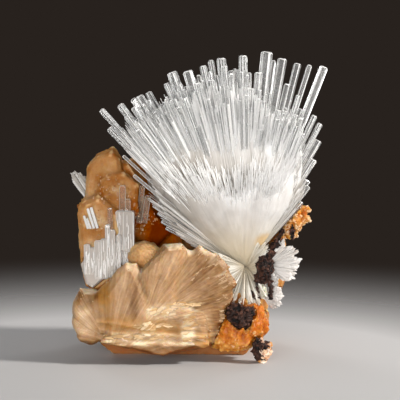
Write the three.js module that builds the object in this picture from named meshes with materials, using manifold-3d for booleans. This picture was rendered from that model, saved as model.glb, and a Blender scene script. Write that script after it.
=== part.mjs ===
// Scolecite on stilbite: a white spray of needle crystals on a mass of tan stilbite blades,
// with bits of the dark, pitted basalt that they grew on.
// Millimetres. +X is to the right, +Y away from the front, +Z up.

import * as THREE from "three";
import { ConvexGeometry } from "three/addons/geometries/ConvexGeometry.js";
import { mergeVertices } from "three/addons/utils/BufferGeometryUtils.js";
import Module from "manifold-3d";

const wasm = await Module();
wasm.setup();

// Driving dimensions
const GAP = 0.3; // clearance between pieces that touch
const APEX = [13.5, 0, 25.4]; // the point that every needle of the spray grows from
const SPRAY_LEAN = -11; // the spray's axis leans left, in degrees
const SPRAY_REACH = 62; // length of the spray's long needles
const CORE_SIDES = 24; // flutes around the fibrous core
const FRONT_SQUEEZE = 0.4; // the spray is this much narrower to the front
const BACK_SQUEEZE = 0.12; // and this much to the back
const NEEDLE_WIDTH = 2.3; // a common needle, across its faces
const TORN_REACH = 31; // the front needles are broken off at this length
const TORN_FROM = -13; // and they lean to the front by more than this, in degrees
const EXTRA_NEEDLES = 30; // needles besides the measured ones
const EXTRA_SPREAD = 52; // and how far from the axis they go, in degrees
const EXTRA_SHORTEST = 0.86; // the shortest of them, as a share of the reach there
const BURIED = 0.6; // a needle leaves the core at this share of its length or later
const APEX_BURIED = 1.5; // the core's foot lies this far behind the apex
const RAD = Math.PI / 180;

// Solids and geometry

function vec(p) {
  return new THREE.Vector3(...p);
}

// A closed surface becomes a solid once its shared corners are one.
function solid(geometry) {
  const bare = geometry.index ? geometry.toNonIndexed() : geometry.clone();
  for (const name of Object.keys(bare.attributes)) {
    if (name !== "position") bare.deleteAttribute(name);
  }
  const merged = mergeVertices(bare, 1e-4);
  const index = merged.index.array;
  const faces = [];
  for (let i = 0; i < index.length; i += 3) {
    const [a, b, c] = [index[i], index[i + 1], index[i + 2]];
    if (a !== b && b !== c && c !== a) faces.push(a, b, c);
  }
  return new wasm.Manifold(
    new wasm.Mesh({
      numProp: 3,
      vertProperties: new Float32Array(merged.attributes.position.array),
      triVerts: new Uint32Array(faces),
    }),
  );
}

function fuse(solids) {
  return wasm.Manifold.union(solids);
}

function carve(body, cutters) {
  return body.subtract(fuse(cutters));
}

// The largest of the bodies that a cut leaves.
function mainBody(body) {
  return body.decompose().sort((a, b) => b.volume() - a.volume())[0];
}

function geometryOf(body) {
  const mesh = body.getMesh();
  const geometry = new THREE.BufferGeometry();
  const corners = new Float32Array(mesh.vertProperties);
  geometry.setAttribute("position", new THREE.BufferAttribute(corners, 3));
  geometry.setIndex(new THREE.BufferAttribute(new Uint32Array(mesh.triVerts), 1));
  return geometry;
}

// A repeatable number from 0 to 1 for each whole number and seed.
function chance(i, seed) {
  const s = Math.sin(i * 12.9898 + seed * 78.233) * 43758.5453;
  return s - Math.floor(s);
}

// An even spread over 0 to 1: these two steps together spread points evenly over a plane.
const ACROSS_STEP = 0.7548776662;
const AROUND_STEP = 0.569840291;

function spread(i, step) {
  return (i * step) % 1;
}

// Primitives of crystals and rock

// A prism that grows from foot to tip: root is its width at the foot as a share of its
// width at the tip, flat its depth as a share of its width, point the length of its tip.
function prism(foot, tip, width, options = {}) {
  const { root = 1, flat = 1, point = width * 0.4, sides = 4, turn = 0, grow = 0 } = options;
  const start = vec(foot);
  const axis = vec(tip).sub(start);
  const length = axis.length() + 2 * grow;
  axis.normalize();
  start.addScaledVector(axis, -grow);
  const r = width / 2 + grow;
  const profile = [
    new THREE.Vector2(0, 0),
    new THREE.Vector2((width / 2) * root + grow, 0),
    new THREE.Vector2(r, length - point),
    new THREE.Vector2(0, length),
  ];
  const geometry = new THREE.LatheGeometry(profile, sides);
  geometry.rotateY(turn * RAD);
  geometry.scale(1, 1, (flat * (width / 2) + grow) / r);
  const front = new THREE.Vector3(0, -1, 0);
  const across = new THREE.Vector3().crossVectors(axis, front).normalize();
  const depth = new THREE.Vector3().crossVectors(across, axis);
  const place = new THREE.Matrix4().makeBasis(across, axis, depth).setPosition(start);
  geometry.applyMatrix4(place);
  return solid(geometry);
}

// A tabular crystal: its outline is [x, z] corners seen from the front, and it fills
// the depth from y front to y back. Its rims are bevelled.
function tablet(outline, front, back, options = {}) {
  const { bevel = 0.8, pitch = 0, yaw = 0, grow = 0 } = options;
  const shape = new THREE.Shape(outline.map(([x, z]) => new THREE.Vector2(x, z)));
  const geometry = new THREE.ExtrudeGeometry(shape, {
    depth: back - front - 2 * bevel + 2 * grow,
    bevelThickness: bevel,
    bevelSize: bevel,
    bevelOffset: grow - bevel,
    bevelSegments: 1,
    curveSegments: 1,
  });
  geometry.rotateX(90 * RAD);
  geometry.translate(0, back - bevel + grow, 0);
  geometry.computeBoundingBox();
  const middle = geometry.boundingBox.getCenter(new THREE.Vector3());
  geometry.translate(-middle.x, -middle.y, -middle.z);
  geometry.rotateX(pitch * RAD);
  geometry.rotateZ(yaw * RAD);
  geometry.translate(middle.x, middle.y, middle.z);
  return solid(geometry);
}

// A blade that grows from a point and widens to its rim. It leans right of upright and
// back, roll turns it about its own length, and blunt is the rim's flat share of its width.
function fanBlade(from, lean, back, reach, width, thick, options = {}) {
  const { root = 0.35, blunt = 0.3, roll = 0, grow = 0, isBevelled = true } = options;
  const bevel = isBevelled ? Math.min(thick * 0.28, width * root * 0.35) : 0;
  const w = width / 2 + grow;
  const r = (width / 2) * root + grow;
  const top = reach + grow;
  const outline = [
    [-r, -grow], [r, -grow], [w, 0.68 * top], [w * blunt, top], [-w * blunt, top * 0.985],
    [-w, 0.73 * top],
  ];
  const shape = new THREE.Shape(outline.map(([x, z]) => new THREE.Vector2(x, z)));
  const geometry = new THREE.ExtrudeGeometry(shape, {
    depth: thick - 2 * bevel + 2 * grow,
    bevelEnabled: isBevelled,
    bevelThickness: bevel,
    bevelSize: bevel,
    bevelOffset: -bevel,
    bevelSegments: 1,
  });
  geometry.translate(0, 0, bevel - thick / 2 - grow);
  geometry.rotateX(90 * RAD);
  geometry.rotateZ(roll * RAD);
  geometry.rotateX(-back * RAD);
  geometry.rotateY(lean * RAD);
  geometry.translate(...from);
  return solid(geometry);
}

// A rough lump: a faceted ball with its corners moved in and out.
function lump(centre, radii, options = {}) {
  const { detail = 1, rough = 0.2, seed = 1, grow = 0 } = options;
  const ball = mergeVertices(
    new THREE.IcosahedronGeometry(1, detail).deleteAttribute("normal").deleteAttribute("uv"),
    1e-4,
  );
  const at = ball.attributes.position;
  for (let i = 0; i < at.count; i++) {
    const swell = 1 + rough * (2 * chance(i, seed) - 1);
    at.setXYZ(
      i,
      centre[0] + at.getX(i) * (radii[0] * swell + grow),
      centre[1] + at.getY(i) * (radii[1] * swell + grow),
      centre[2] + at.getZ(i) * (radii[2] * swell + grow),
    );
  }
  return solid(ball);
}

// A block with flat faces through its corner points.
function block(corners) {
  return solid(new ConvexGeometry(corners.map(vec)));
}

// The point at a length along a direction that leans right of upright and back, in degrees.
function along(from, lean, back, length) {
  const across = Math.cos(back * RAD) * length;
  return [
    from[0] + Math.sin(lean * RAD) * across,
    from[1] + Math.sin(back * RAD) * length,
    from[2] + Math.cos(lean * RAD) * across,
  ];
}

// The spray

// Its outer needles: lean, lean to the back, length and width.
const MEASURED_NEEDLES = [
  [-66, -8, 16.5, 2], [-61.7, -6, 27, 2.2], [-58.8, -12, 29.8, 2], [-56.4, -8, 31.6, 2],
  [-51.5, -9, 33.5, 2.2], [-48.7, -10, 44.8, 2], [-46.2, -8, 50.8, 2.2], [-43.4, -5, 59.2, 2.2],
  [-41.4, -6, 65, 2], [-37.4, 2, 61.8, 2.4], [-37, -9, 59.5, 1.8], [-33.9, 8, 61, 2.2],
  [-31.2, -2, 61, 2.6], [-29.4, 10, 60.4, 2.2], [-24.9, -8, 57, 2.2], [-23.2, 4, 60.2, 1.8],
  [-20.5, 2, 62.8, 3.2], [-18.4, 12, 57.6, 2], [-16.1, -4, 62.4, 3], [-14.1, -10, 59.6, 2.2],
  [-11.8, 6, 61.9, 2.4], [-9.6, 14, 63.8, 2.2], [-6.6, 0, 63.6, 3.4], [-6, -8, 62.6, 2.2],
  [-4, 10, 59.5, 2.4], [-3, 18, 61.2, 1.8], [-0.7, -2, 64.2, 2.6], [1.1, 8, 58.6, 1.8],
  [3.7, -6, 60, 2.4], [5.7, 3, 65.2, 3.6], [8, 12, 63.2, 2.2], [9.8, -3, 64.4, 3],
  [12.3, -8, 58.2, 2], [14.5, 5, 63.3, 2.4], [16.2, -10, 47.2, 2.6], [16.5, -6, 55.2, 1.6],
  [17.9, 9, 64, 1.8], [21.1, 0, 65, 2.8], [23.8, -5, 51, 1.8], [26.5, -8, 47.6, 1.6],
  [27.5, 4, 48.8, 1.8], [29.6, 0, 44.3, 2.2], [31.5, -4, 39, 2.2], [35.9, 6, 32.4, 2],
  [37.8, 4, 31, 2], [39.4, -2, 26.3, 2],
];

// How long a needle is by its angle from the spray's axis: [degrees, length].
const REACH_BY_ANGLE = [
  [0, 62], [32, 62], [35, 51], [38.5, 46], [41.5, 38], [46, 32], [51, 26], [56, 15],
];

function reachAt(angle) {
  for (let i = 1; i < REACH_BY_ANGLE.length; i++) {
    const [a0, r0] = REACH_BY_ANGLE[i - 1];
    const [a1, r1] = REACH_BY_ANGLE[i];
    if (angle <= a1) return r0 + ((r1 - r0) * (angle - a0)) / (a1 - a0);
  }
  return REACH_BY_ANGLE.at(-1)[1];
}

function sprayDirection(lean, back) {
  return vec(along([0, 0, 0], lean, back, 1));
}

// A point of the spray by its angle from the axis, its way around it and its distance.
function sprayPoint(sideAngle, around, distance) {
  const squeeze = around < 0 ? FRONT_SQUEEZE : BACK_SQUEEZE;
  const angle = sideAngle * (1 - squeeze * Math.sin(around) ** 2);
  const axis = sprayDirection(SPRAY_LEAN, 0);
  const side = new THREE.Vector3(Math.cos(SPRAY_LEAN * RAD), 0, -Math.sin(SPRAY_LEAN * RAD));
  const back = new THREE.Vector3(0, 1, 0);
  const out = side.multiplyScalar(Math.cos(around)).addScaledVector(back, Math.sin(around));
  return axis
    .multiplyScalar(Math.cos(angle * RAD))
    .addScaledVector(out, Math.sin(angle * RAD))
    .multiplyScalar(distance)
    .add(vec(APEX));
}

// How far the way to a point leans to the back, in degrees.
function backLean(place) {
  const way = place.clone().sub(vec(APEX)).normalize();
  return Math.asin(way.y) / RAD;
}

// The fibrous core: a fluted cone, cut short where its front is torn.
const CORE_PROFILE = [
  [51, 5], [50, 14], [49, 22], [46, 28], [39.5, 36], [34, 44], [24, 49], [11, 50],
];

// Moves each corner of a turned shape by its ring, its way around and its number.
function warp(turned, placeOf) {
  const geometry = mergeVertices(turned.deleteAttribute("normal").deleteAttribute("uv"), 1e-4);
  const at = geometry.attributes.position;
  for (let i = 0; i < at.count; i++) {
    const ring = Math.round(at.getY(i)) - 1;
    const place = placeOf(ring, Math.atan2(-at.getZ(i), at.getX(i)), i);
    at.setXYZ(i, place.x, place.y, place.z);
  }
  return solid(geometry);
}

function sprayCore() {
  const profile = [new THREE.Vector2(0, 0)];
  for (let i = 0; i < CORE_PROFILE.length; i++) profile.push(new THREE.Vector2(1, i + 1));
  profile.push(new THREE.Vector2(0, CORE_PROFILE.length + 1));
  return warp(new THREE.LatheGeometry(profile, CORE_SIDES), (ring, around, i) => {
    if (ring < 0) return sprayPoint(0, 0, -APEX_BURIED);
    if (ring >= CORE_PROFILE.length) return sprayPoint(0, 0, CORE_PROFILE.at(-1)[1]);
    const [angle, distance] = CORE_PROFILE[ring];
    const column = Math.round((around / (2 * Math.PI)) * CORE_SIDES);
    const flute = 1 + (column % 2 ? 0.045 : -0.045);
    const isTorn = backLean(sprayPoint(angle, around, 1)) < TORN_FROM;
    const length = isTorn ? Math.min(distance, TORN_REACH) : distance;
    const uneven = ring > 2 ? 1 + 0.12 * (chance(i, 3) - 0.5) : 1;
    return sprayPoint(angle * flute, around, length * uneven);
  });
}

// A plain cone just outside the core and its short needles: the room that others leave.
const ROOM_PROFILE = [
  [55, 5], [53, 14], [51.5, 26], [48.5, 31], [45, 34], [41, 38], [37.5, 44], [35, 56], [34, 68],
];
const ROOM_MARGIN = 1;
const ROOM_SIDES = 16;

function sprayRoom() {
  const profile = [new THREE.Vector2(0, 0)];
  for (let i = 0; i < ROOM_PROFILE.length; i++) profile.push(new THREE.Vector2(1, i + 1));
  profile.push(new THREE.Vector2(0, ROOM_PROFILE.length + 1));
  return warp(new THREE.LatheGeometry(profile, ROOM_SIDES), (ring, around) => {
    if (ring < 0) return sprayPoint(0, 0, -APEX_BURIED - ROOM_MARGIN);
    if (ring >= ROOM_PROFILE.length) return sprayPoint(0, 0, SPRAY_REACH + 6);
    const [angle, distance] = ROOM_PROFILE[ring];
    return sprayPoint(angle + ROOM_MARGIN / distance / RAD, around, distance);
  });
}

function needle(lean, back, length, width, turn, grow = 0) {
  const buried = along(APEX, lean, back, length * BURIED);
  const look = { root: 0.6, flat: 0.85, turn, grow };
  return prism(buried, along(APEX, lean, back, length), width, look);
}

function measuredNeedle(row, i, grow = 0) {
  return needle(...row, 90 * chance(i, 11), grow);
}

function extraNeedles() {
  const made = [];
  for (let i = 0; i < EXTRA_NEEDLES; i++) {
    const angle = EXTRA_SPREAD * Math.sqrt(spread(i + 0.5, ACROSS_STEP));
    const around = 2 * Math.PI * spread(i, AROUND_STEP);
    const way = sprayPoint(angle, around, 1).sub(vec(APEX));
    const back = Math.asin(way.y) / RAD;
    const lean = Math.atan2(way.x, way.z) / RAD;
    const isBroken = back < TORN_FROM;
    const isInWall = lean < -42 && back > -9;
    if (isBroken || isInWall) continue;
    const share = EXTRA_SHORTEST + (1 - EXTRA_SHORTEST) * chance(i, 5);
    const width = NEEDLE_WIDTH * (0.8 + 0.4 * chance(i, 7));
    made.push(needle(lean, back, reachAt(angle) * share, width, 90 * chance(i, 9)));
  }
  return made;
}

// The small fan of blades under the spray, from the same point: lean and length.
const UNDER_BLADES = [
  [-84, 10.9], [-101, 9.8], [-118, 9.6], [-136, 10], [-152, 10], [-168, 11], [175, 10.8],
];

const UNDER_FROM = [APEX[0], -2, APEX[2] + 1];
const UNDER_FRONT_LEANS = [-36, -24]; // they lean to the front, by turns more and less

function underFan(grow = 0) {
  return fuse(
    UNDER_BLADES.map(([lean, length], i) => {
      const look = { root: 0.3, roll: 12, isBevelled: false, grow };
      return fanBlade(UNDER_FROM, lean, UNDER_FRONT_LEANS[i % 2], length, 4.8, 2.4, look);
    }),
  );
}

function spray() {
  const measured = MEASURED_NEEDLES.map((row, i) => measuredNeedle(row, i));
  return fuse([sprayCore(), ...measured, ...extraNeedles(), underFan()]);
}

// Stilbite

const SPLIT = -8; // the front sheaf and the wall meet at this depth

// Its outline, hollow and back are blades that face different ways.
const WALL_TABLETS = [
  {
    outline: [
      [-34, 52.5], [-33.6, 56], [-30.5, 59.5], [-26.3, 61], [-24, 58.3], [-22.6, 50],
      [-22, 40], [-31, 40], [-34.5, 46],
    ],
    front: -2,
    back: 9,
    bevel: 1.2,
  },
  {
    outline: [
      [-25, 57], [-23.3, 56.6], [-20.2, 57.4], [-14, 55], [-9, 48], [-6, 38], [-14, 30],
      [-25, 38],
    ],
    front: 1.5,
    back: 11,
    bevel: 1.2,
  },
  {
    outline: [
      [-30, 48.5], [-34.5, 46.8], [-36, 44.5], [-36.3, 41.5], [-35.7, 32], [-35.5, 28],
      [-34, 20.8], [-27, 16], [-22, 30], [-24, 43],
    ],
    front: -7.8,
    back: 4,
    bevel: 1.4,
  },
  {
    outline: [
      [-30, 44], [-30.5, 49], [-28, 54], [-22.5, 55], [-18.5, 51], [-18.5, 42], [-25, 39],
    ],
    front: -4.4,
    back: 1,
    bevel: 0.9,
  },
];

// From, lean, lean to the back, reach, width, thickness and roll.
const WALL_BLADES = [
  [[-3, 10, 14], -36, -4, 36, 13, 6, 18],
  [[-5, 9, 14], -19, 0, 36, 14, 6, -14],
  [[-8, 7, 14], -56, -6, 28, 12, 6, 22],
  [[0, 12, 14], -2, 2, 29, 14, 7, 10],
  [[3, 3, 15], -68, -8, 20, 11, 6, -18],
  [[-10, 12, 10], -50, 10, 30, 15, 9, -20],
  [[-8, 14, 10], -26, 14, 33, 15, 8, -10],
  [[-4, 15, 9], -4, 15, 33, 15, 8, 6],
  [[0, 15, 8], 20, 13, 32, 14, 8, 16],
  [[4, 13, 8], 42, 9, 27, 12, 8, 26],
  [[-12, 8, 12], -72, 4, 22, 13, 9, -12],
  [[-6, 16, 5], -74, 10, 25, 11, 9, 14],
  [[2, 16, 5], 66, 9, 17, 11, 9, -16],
  [[15, 11, 4], 10, 4, 25, 12, 8, 74],
  [[14, 2, 3], 22, -2, 12, 11, 7, 84],
];

const BASE_CORNERS = [
  [-26, -4, 0], [-22, 20, 0], [-6, 24, 0], [12, 22, 0], [16, 10, 0], [13, -6, 0],
  [-33, -9, 7], [-31, 15, 9], [-8, 26, 9], [16, 24, 9], [20, 8, 9], [17, -9, 7],
  [-30, -9, 21], [-26, 13, 24], [-6, 20, 26], [14, 19, 26], [17, 6, 21], [13, -9, 21],
];

const RIGHT_BACK_CORNERS = [
  [12, 7, 18], [24, 6, 18], [26, 15, 18], [12, 21, 18], [14, 14, 40], [25, 7, 39],
  [26, 13, 39], [20, 17, 40], [24, 5, 30],
];

const HOLLOW_FLOOR = [[-15, -3, 23], [9, 6, 4.5]]; // centre and radii

function wallBody() {
  const tablets = WALL_TABLETS.map((t) => tablet(t.outline, t.front, t.back, t));
  const blades = WALL_BLADES.map(([from, lean, back, reach, width, thick, roll]) =>
    fanBlade(from, lean, back, reach, width, thick, { root: 0.6, blunt: 0.45, roll }),
  );
  const floor = lump(...HOLLOW_FLOOR, { rough: 0.15, detail: 0, seed: 4 });
  const all = [block(BASE_CORNERS), block(RIGHT_BACK_CORNERS), floor, ...tablets, ...blades];
  return fuse(all).trimByPlane([0, 1, 0], SPLIT + GAP / 2).trimByPlane([0, 0, 1], 0);
}

// The front sheaf: a left lobe, a middle blade with a flat top, and a fan on the right.
const LEFT_LOBE = [
  [-27, 8], [-28.6, 19.6], [-24.4, 26.4], [-21.4, 29], [-18.6, 28.7], [-17, 26.2], [-13.6, 18],
  [-12, 8],
];
const SIDE_LOBE = [
  [-33, 8], [-34.4, 15.6], [-31, 19.4], [-26.6, 23.4], [-23, 22], [-20, 8],
];
const MIDDLE_BLADE = [
  [-17.6, 26.4], [-14.6, 30.2], [-10.4, 34.2], [-5.4, 34.5], [-4.4, 33], [-7.6, 22], [-9, 11],
  [-16.5, 11],
];
const FAN_FROM = [-12, -14.6, 14];

// Lean, lean to the back, reach, width, thickness and roll.
const FAN_BLADES = [
  [25, 9, 20.8, 8, 8, 6], [37, 8, 23.6, 9, 8.4, -6], [50, 6, 24.8, 9.5, 8, 7],
  [63, 4, 24.2, 9.5, 8.6, -6], [76, 3, 22.4, 10, 8, 6], [92, 2, 20.8, 10, 8.6, -6],
  [110, 0, 18.2, 11, 8, 5],
];
const LEFT_FOOT_FROM = [-25, -12.6, 13];
const LEFT_FOOT_BLADES = [
  [-62, 0, 13.2, 9, 8, 10], [-86, -4, 12.8, 10, 8, -10], [-110, -8, 12.8, 11, 8.4, 12],
];

// The broken, pearly base: splinters that lie along it.
const BASE_SPLINTERS = [
  {
    outline: [[-29.6, 6.4], [-26, 9.8], [-9, 10.4], [2, 9], [2.6, 5.6], [-11, 2.8]],
    front: -22,
  },
  {
    outline: [[-17, 8], [-15, 16.2], [-6, 17.4], [1, 15], [3.6, 9.4]],
    front: -20.6,
  },
  {
    outline: [[-8, 3.4], [-7, 12], [-1, 15.6], [2, 9], [0, 4.2]],
    front: -21.4,
  },
];
const SHEAF_BACK = SPLIT - GAP / 2;

function sheafBody() {
  const blade = (from) => ([lean, back, reach, width, thick, roll]) =>
    fanBlade(from, lean, back, reach, width, thick, { root: 0.5, blunt: 0.55, roll });
  const fused = fuse([
    tablet(LEFT_LOBE, -20.8, -6, { bevel: 2.2, yaw: -5, pitch: -8 }),
    tablet(SIDE_LOBE, -18.6, -5, { bevel: 1.8, yaw: -12, pitch: -6 }),
    tablet(MIDDLE_BLADE, -19.6, -6, { bevel: 1.2, yaw: 7, pitch: -5 }),
    ...FAN_BLADES.map(blade(FAN_FROM)),
    ...LEFT_FOOT_BLADES.map(blade(LEFT_FOOT_FROM)),
    ...BASE_SPLINTERS.map((t) => tablet(t.outline, t.front, -6, { bevel: 0.9 })),
  ]);
  return fused.trimByPlane([0, -1, 0], -SHEAF_BACK);
}

// The sheaf's right edge is a slanted face, and the orange crust grows against it.
const SHEAF_EDGE = [[2.9, 3], [9.8, 20.5]];

function rightOfSheaf(gap) {
  const [[x0, z0], [x1, z1]] = SHEAF_EDGE;
  const corners = [];
  for (const y of [-30, 2]) {
    const outline = [[x0, z0], [x1, z1], [40, z1], [40, -2], [x0 - 2, -2]];
    for (const [x, z] of outline) corners.push([x + gap, y, z]);
  }
  return block(corners);
}

const BALL = [[-16.5, -7.6, 30], [5, 5, 5]]; // centre and radii

function ballBody(grow = 0) {
  return lump(...BALL, { rough: 0.06, seed: 2, grow });
}

// The sugary orange crusts: centre, radii and how finely each lump is faceted.
const ORANGE_BASE_LUMPS = [
  [[11, -13, 9], [8.6, 6, 6.8], 1], [[16, -12.6, 10.6], [4.4, 5.2, 6], 1],
  [[7, -12, 5.6], [6, 5, 3.6], 0],
];
const CAP_LUMPS = [
  [[28.4, 3, 40.2], [3, 4.6, 4.6], 1], [[27, 4, 36.4], [2.8, 4.4, 3.8], 0],
];
const CAP_BLADES_FROM = [27.4, 1.4, 40.6];

// Lean, lean to the back, reach and width.
const CAP_BLADES = [[62, -10, 6.2, 3], [96, -4, 5.4, 3]];

function crust(lumps, grow = 0) {
  return fuse(
    lumps.map(([at, radii, detail], i) =>
      lump(at, radii, { rough: 0.16, detail, seed: i + 11, grow }),
    ),
  );
}

function cap(grow = 0) {
  const blades = CAP_BLADES.map(([lean, back, reach, width]) =>
    fanBlade(CAP_BLADES_FROM, lean, back, reach, width, 1.6, { isBevelled: false, grow }),
  );
  return fuse([crust(CAP_LUMPS, grow), ...blades]);
}

// Small scolecite crystals on the wall

// Foot, tip, width.
const COLUMNS = [
  [[-32.6, -8.4, 25], [-32.7, -8.4, 35.1], 3.2], [[-29.2, -8.6, 23.6], [-29.3, -8.6, 35.7], 3.5],
  [[-26.6, -8.6, 24], [-26.7, -8.6, 39.9], 2.8], [[-24.7, -8, 25.4], [-24.7, -8, 36.8], 2.4],
  [[-22.2, -5.4, 31], [-22.2, -5.4, 51.2], 3.1], [[-22.4, -6.4, 31.6], [-22.4, -6.4, 43.8], 5.2],
  [[-22.5, -6, 27.4], [-22.5, -6, 35], 3], [[-26.6, -8.2, 36], [-26.7, -8.2, 44.8], 1.3],
];
const CLEAR_TABLET = [
  [-35.4, 28], [-33.9, 22.1], [-31.9, 20.8], [-28.7, 23.4], [-24.4, 26.6], [-27, 31], [-33, 31],
];

// Foot, tip and width of two prisms side by side.
const PAIR = [
  [[-19.2, 0.6, 40.6], [-17.8, 0.6, 50.8], 2.9],
  [[-17.5, 0.1, 39], [-16.2, 0.1, 47.4], 3.2],
];
const LONG_SLIVER = [[-30.9, -7.9, 38.7], [-32.8, -7.9, 44.9], 2];
const SHORT_SLIVER = [[-32.8, -7.9, 38.5], [-34, -7.9, 42.4], 1.6];

function columnsBody(grow = 0) {
  const columns = COLUMNS.map(([foot, tip, width]) =>
    prism(foot, tip, width, { flat: 0.9, turn: 45, point: width * 0.22, grow }),
  );
  return fuse([...columns, tablet(CLEAR_TABLET, -9.4, -6, { bevel: 0.7, grow })]);
}

function pairBody(grow = 0) {
  return fuse(PAIR.map((row) => prism(...row, { flat: 0.8, turn: 45, grow })));
}

function sliverBody(row, grow = 0) {
  return prism(...row, { flat: 0.7, turn: 45, grow });
}

const SIDE_BLADES_FROM = [-32, 2, 46];

// Lean, lean to the back, reach, width and roll.
const SIDE_BLADES = [[-37, -8, 9.8, 4, 20], [-27, 4, 9.6, 4, -15], [-16, -4, 7.8, 3.6, 10]];

function sideBlades(grow = 0) {
  return fuse(
    SIDE_BLADES.map(([lean, back, reach, width, roll]) =>
      fanBlade(SIDE_BLADES_FROM, lean, back, reach, width, 2.4, {
        roll,
        isBevelled: false,
        grow,
      }),
    ),
  );
}

// The corner of the wall that the vein and the white fans fill.
const FAN_ROOM_LEFT = 14.4;
const FAN_ROOM_BACK = 6.2;

function fanRoom() {
  const corners = [];
  for (const x of [FAN_ROOM_LEFT, 40]) {
    for (const y of [-12, FAN_ROOM_BACK]) {
      for (const z of [12.4, 37]) corners.push([x, y, z]);
    }
  }
  return block(corners);
}

const RIGHT_FAN_FROM = [19.6, 1, 26];

// The white cockscomb at the right: lean, lean to the back, reach and width.
const RIGHT_FAN_BLADES = [
  [40, 2, 10.8, 5.6], [60, -12, 11.2, 5.4], [78, 4, 11.4, 5.6], [100, -10, 10.4, 5.6],
  [64, 20, 11, 5.6],
];
const LOWER_FAN_FROM = [19, -0.6, 17];
const LOWER_FAN_BLADES = [[52, 4, 6, 5.4], [100, -10, 6, 5.4], [78, 24, 6.6, 5]];
const FAN_STEM = [[20.4, 2, 28], [20, 2, 14.6], 6]; // foot, tip and width

function rightFans() {
  const blade = (from) => ([lean, back, reach, width], i) =>
    fanBlade(from, lean, back, reach, width, 3, {
      roll: i % 2 ? 24 : -20,
      blunt: 0.5,
      isBevelled: false,
    });
  const fused = fuse([
    ...RIGHT_FAN_BLADES.map(blade(RIGHT_FAN_FROM)),
    ...LOWER_FAN_BLADES.map(blade(LOWER_FAN_FROM)),
    prism(...FAN_STEM, { turn: 45 }),
  ]);
  const rightOf = fused.trimByPlane([1, 0, 0], FAN_ROOM_LEFT + GAP);
  return rightOf.trimByPlane([0, -1, 0], GAP - FAN_ROOM_BACK);
}

// Basalt

// Centre, radii and how finely each lump is faceted.
const VEIN_LUMPS = [
  [[19.2, -1, 25.6], [3.1, 5, 4.7], 1], [[21.4, -0.4, 30.2], [1.9, 3.8, 3], 0],
  [[22.8, 0, 33.4], [1.8, 3.4, 3], 0], [[23.9, 0.4, 36.8], [1.5, 3, 2.8], 0],
  [[17.2, -2.8, 22.2], [1.9, 3, 3], 0], [[16.6, -4, 18.2], [2.1, 3, 3.2], 0],
  [[21, -2.4, 19.2], [1.1, 3, 4.6], 0],
];
const LOWER_LUMPS = [
  [[11.6, -16.6, 14.2], [4.3, 3, 4], 1], [[14, -16.2, 11.4], [2.4, 2.8, 2.6], 0],
];
const FOOT_LUMPS = [[[17.9, -17.4, 3.9], [2.8, 3, 4], 1]];
const STRIP_LUMPS = [[[27.6, -1.6, 36.4], [1, 1.5, 2.6], 0]];

function basalt(lumps, grow = 0) {
  return fuse(
    lumps.map(([at, radii, detail], i) =>
      lump(at, radii, { rough: 0.24, detail, seed: i + 31, grow }),
    ),
  );
}

const GRAINS = [[18.9, -3.6, 19], [1.9, 2, 2.2]]; // centre and radii

function grainsBody(grow = 0) {
  return lump(...GRAINS, { detail: 0, rough: 0.2, seed: 51, grow });
}

// The specimen

const LOW_NEEDLES = 8; // the first measured needles reach past the spray's room

const room = sprayRoom();
const lowNeedles = MEASURED_NEEDLES.slice(0, LOW_NEEDLES).map((row, i) =>
  measuredNeedle(row, i, GAP),
);
const underFanRoom = underFan(GAP);
const veinRoom = basalt(VEIN_LUMPS, GAP);
const lowerLumpRoom = basalt(LOWER_LUMPS, GAP);
const columnsRoom = columnsBody(GAP);
const ballRoom = ballBody(GAP);
const capRoom = cap(GAP);

// What each stilbite and basalt piece leaves room for.
const wallNeighbours = [
  room, ...lowNeedles, underFanRoom, columnsRoom, pairBody(GAP), sliverBody(LONG_SLIVER, GAP),
  sliverBody(SHORT_SLIVER, GAP), sideBlades(GAP), ballRoom, fanRoom(), capRoom,
];
const sheafNeighbours = [
  room, underFanRoom, lowerLumpRoom, columnsRoom, ballRoom, rightOfSheaf(0),
];
const baseNeighbours = [underFanRoom, lowerLumpRoom, basalt(FOOT_LUMPS, GAP), fanRoom()];
const fanNeighbours = [room, veinRoom, grainsBody(GAP), capRoom];
const capNeighbours = [room, veinRoom, basalt(STRIP_LUMPS, GAP)];

function orangeBase() {
  const trimmed = crust(ORANGE_BASE_LUMPS).trimByPlane([0, -1, 0], -SHEAF_BACK);
  return carve(trimmed, baseNeighbours).intersect(rightOfSheaf(GAP));
}

const group = new THREE.Group();

function add(name, body, color, roughness) {
  const material = new THREE.MeshStandardMaterial({ color, roughness, metalness: 0 });
  const mesh = new THREE.Mesh(geometryOf(mainBody(body)), material);
  mesh.name = name;
  group.add(mesh);
}

add("scolecite_spray", spray(), "#e6e4df", 0.25);
add("scolecite_left_columns", columnsBody(), "#e2ddd8", 0.2);
add("scolecite_prism_pair", pairBody(), "#d8cfc6", 0.15);
add("scolecite_sliver_long", sliverBody(LONG_SLIVER), "#e8e2da", 0.2);
add("scolecite_sliver_short", sliverBody(SHORT_SLIVER), "#e8e2da", 0.2);
add("scolecite_side_blades", sideBlades(), "#d9d2ca", 0.3);
add("scolecite_right_fans", carve(rightFans(), fanNeighbours), "#dad6d5", 0.4);
add("stilbite_wall", carve(wallBody(), wallNeighbours), "#b67a3e", 0.45);
add("stilbite_sheaf", carve(sheafBody(), sheafNeighbours), "#cda274", 0.4);
add("stilbite_ball", carve(ballBody(), [columnsRoom]), "#cc9c66", 0.5);
add("stilbite_orange_base", orangeBase(), "#d98a30", 0.5);
add("stilbite_orange_cap", carve(cap(), capNeighbours), "#e0a040", 0.5);
add("basalt_vein", carve(basalt(VEIN_LUMPS), [room, underFanRoom]), "#3a211d", 0.8);
add("basalt_lower_lump", carve(basalt(LOWER_LUMPS), [underFanRoom]), "#3a211d", 0.8);
add("basalt_foot", basalt(FOOT_LUMPS).trimByPlane([0, 0, 1], 0), "#3a211d", 0.8);
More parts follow.
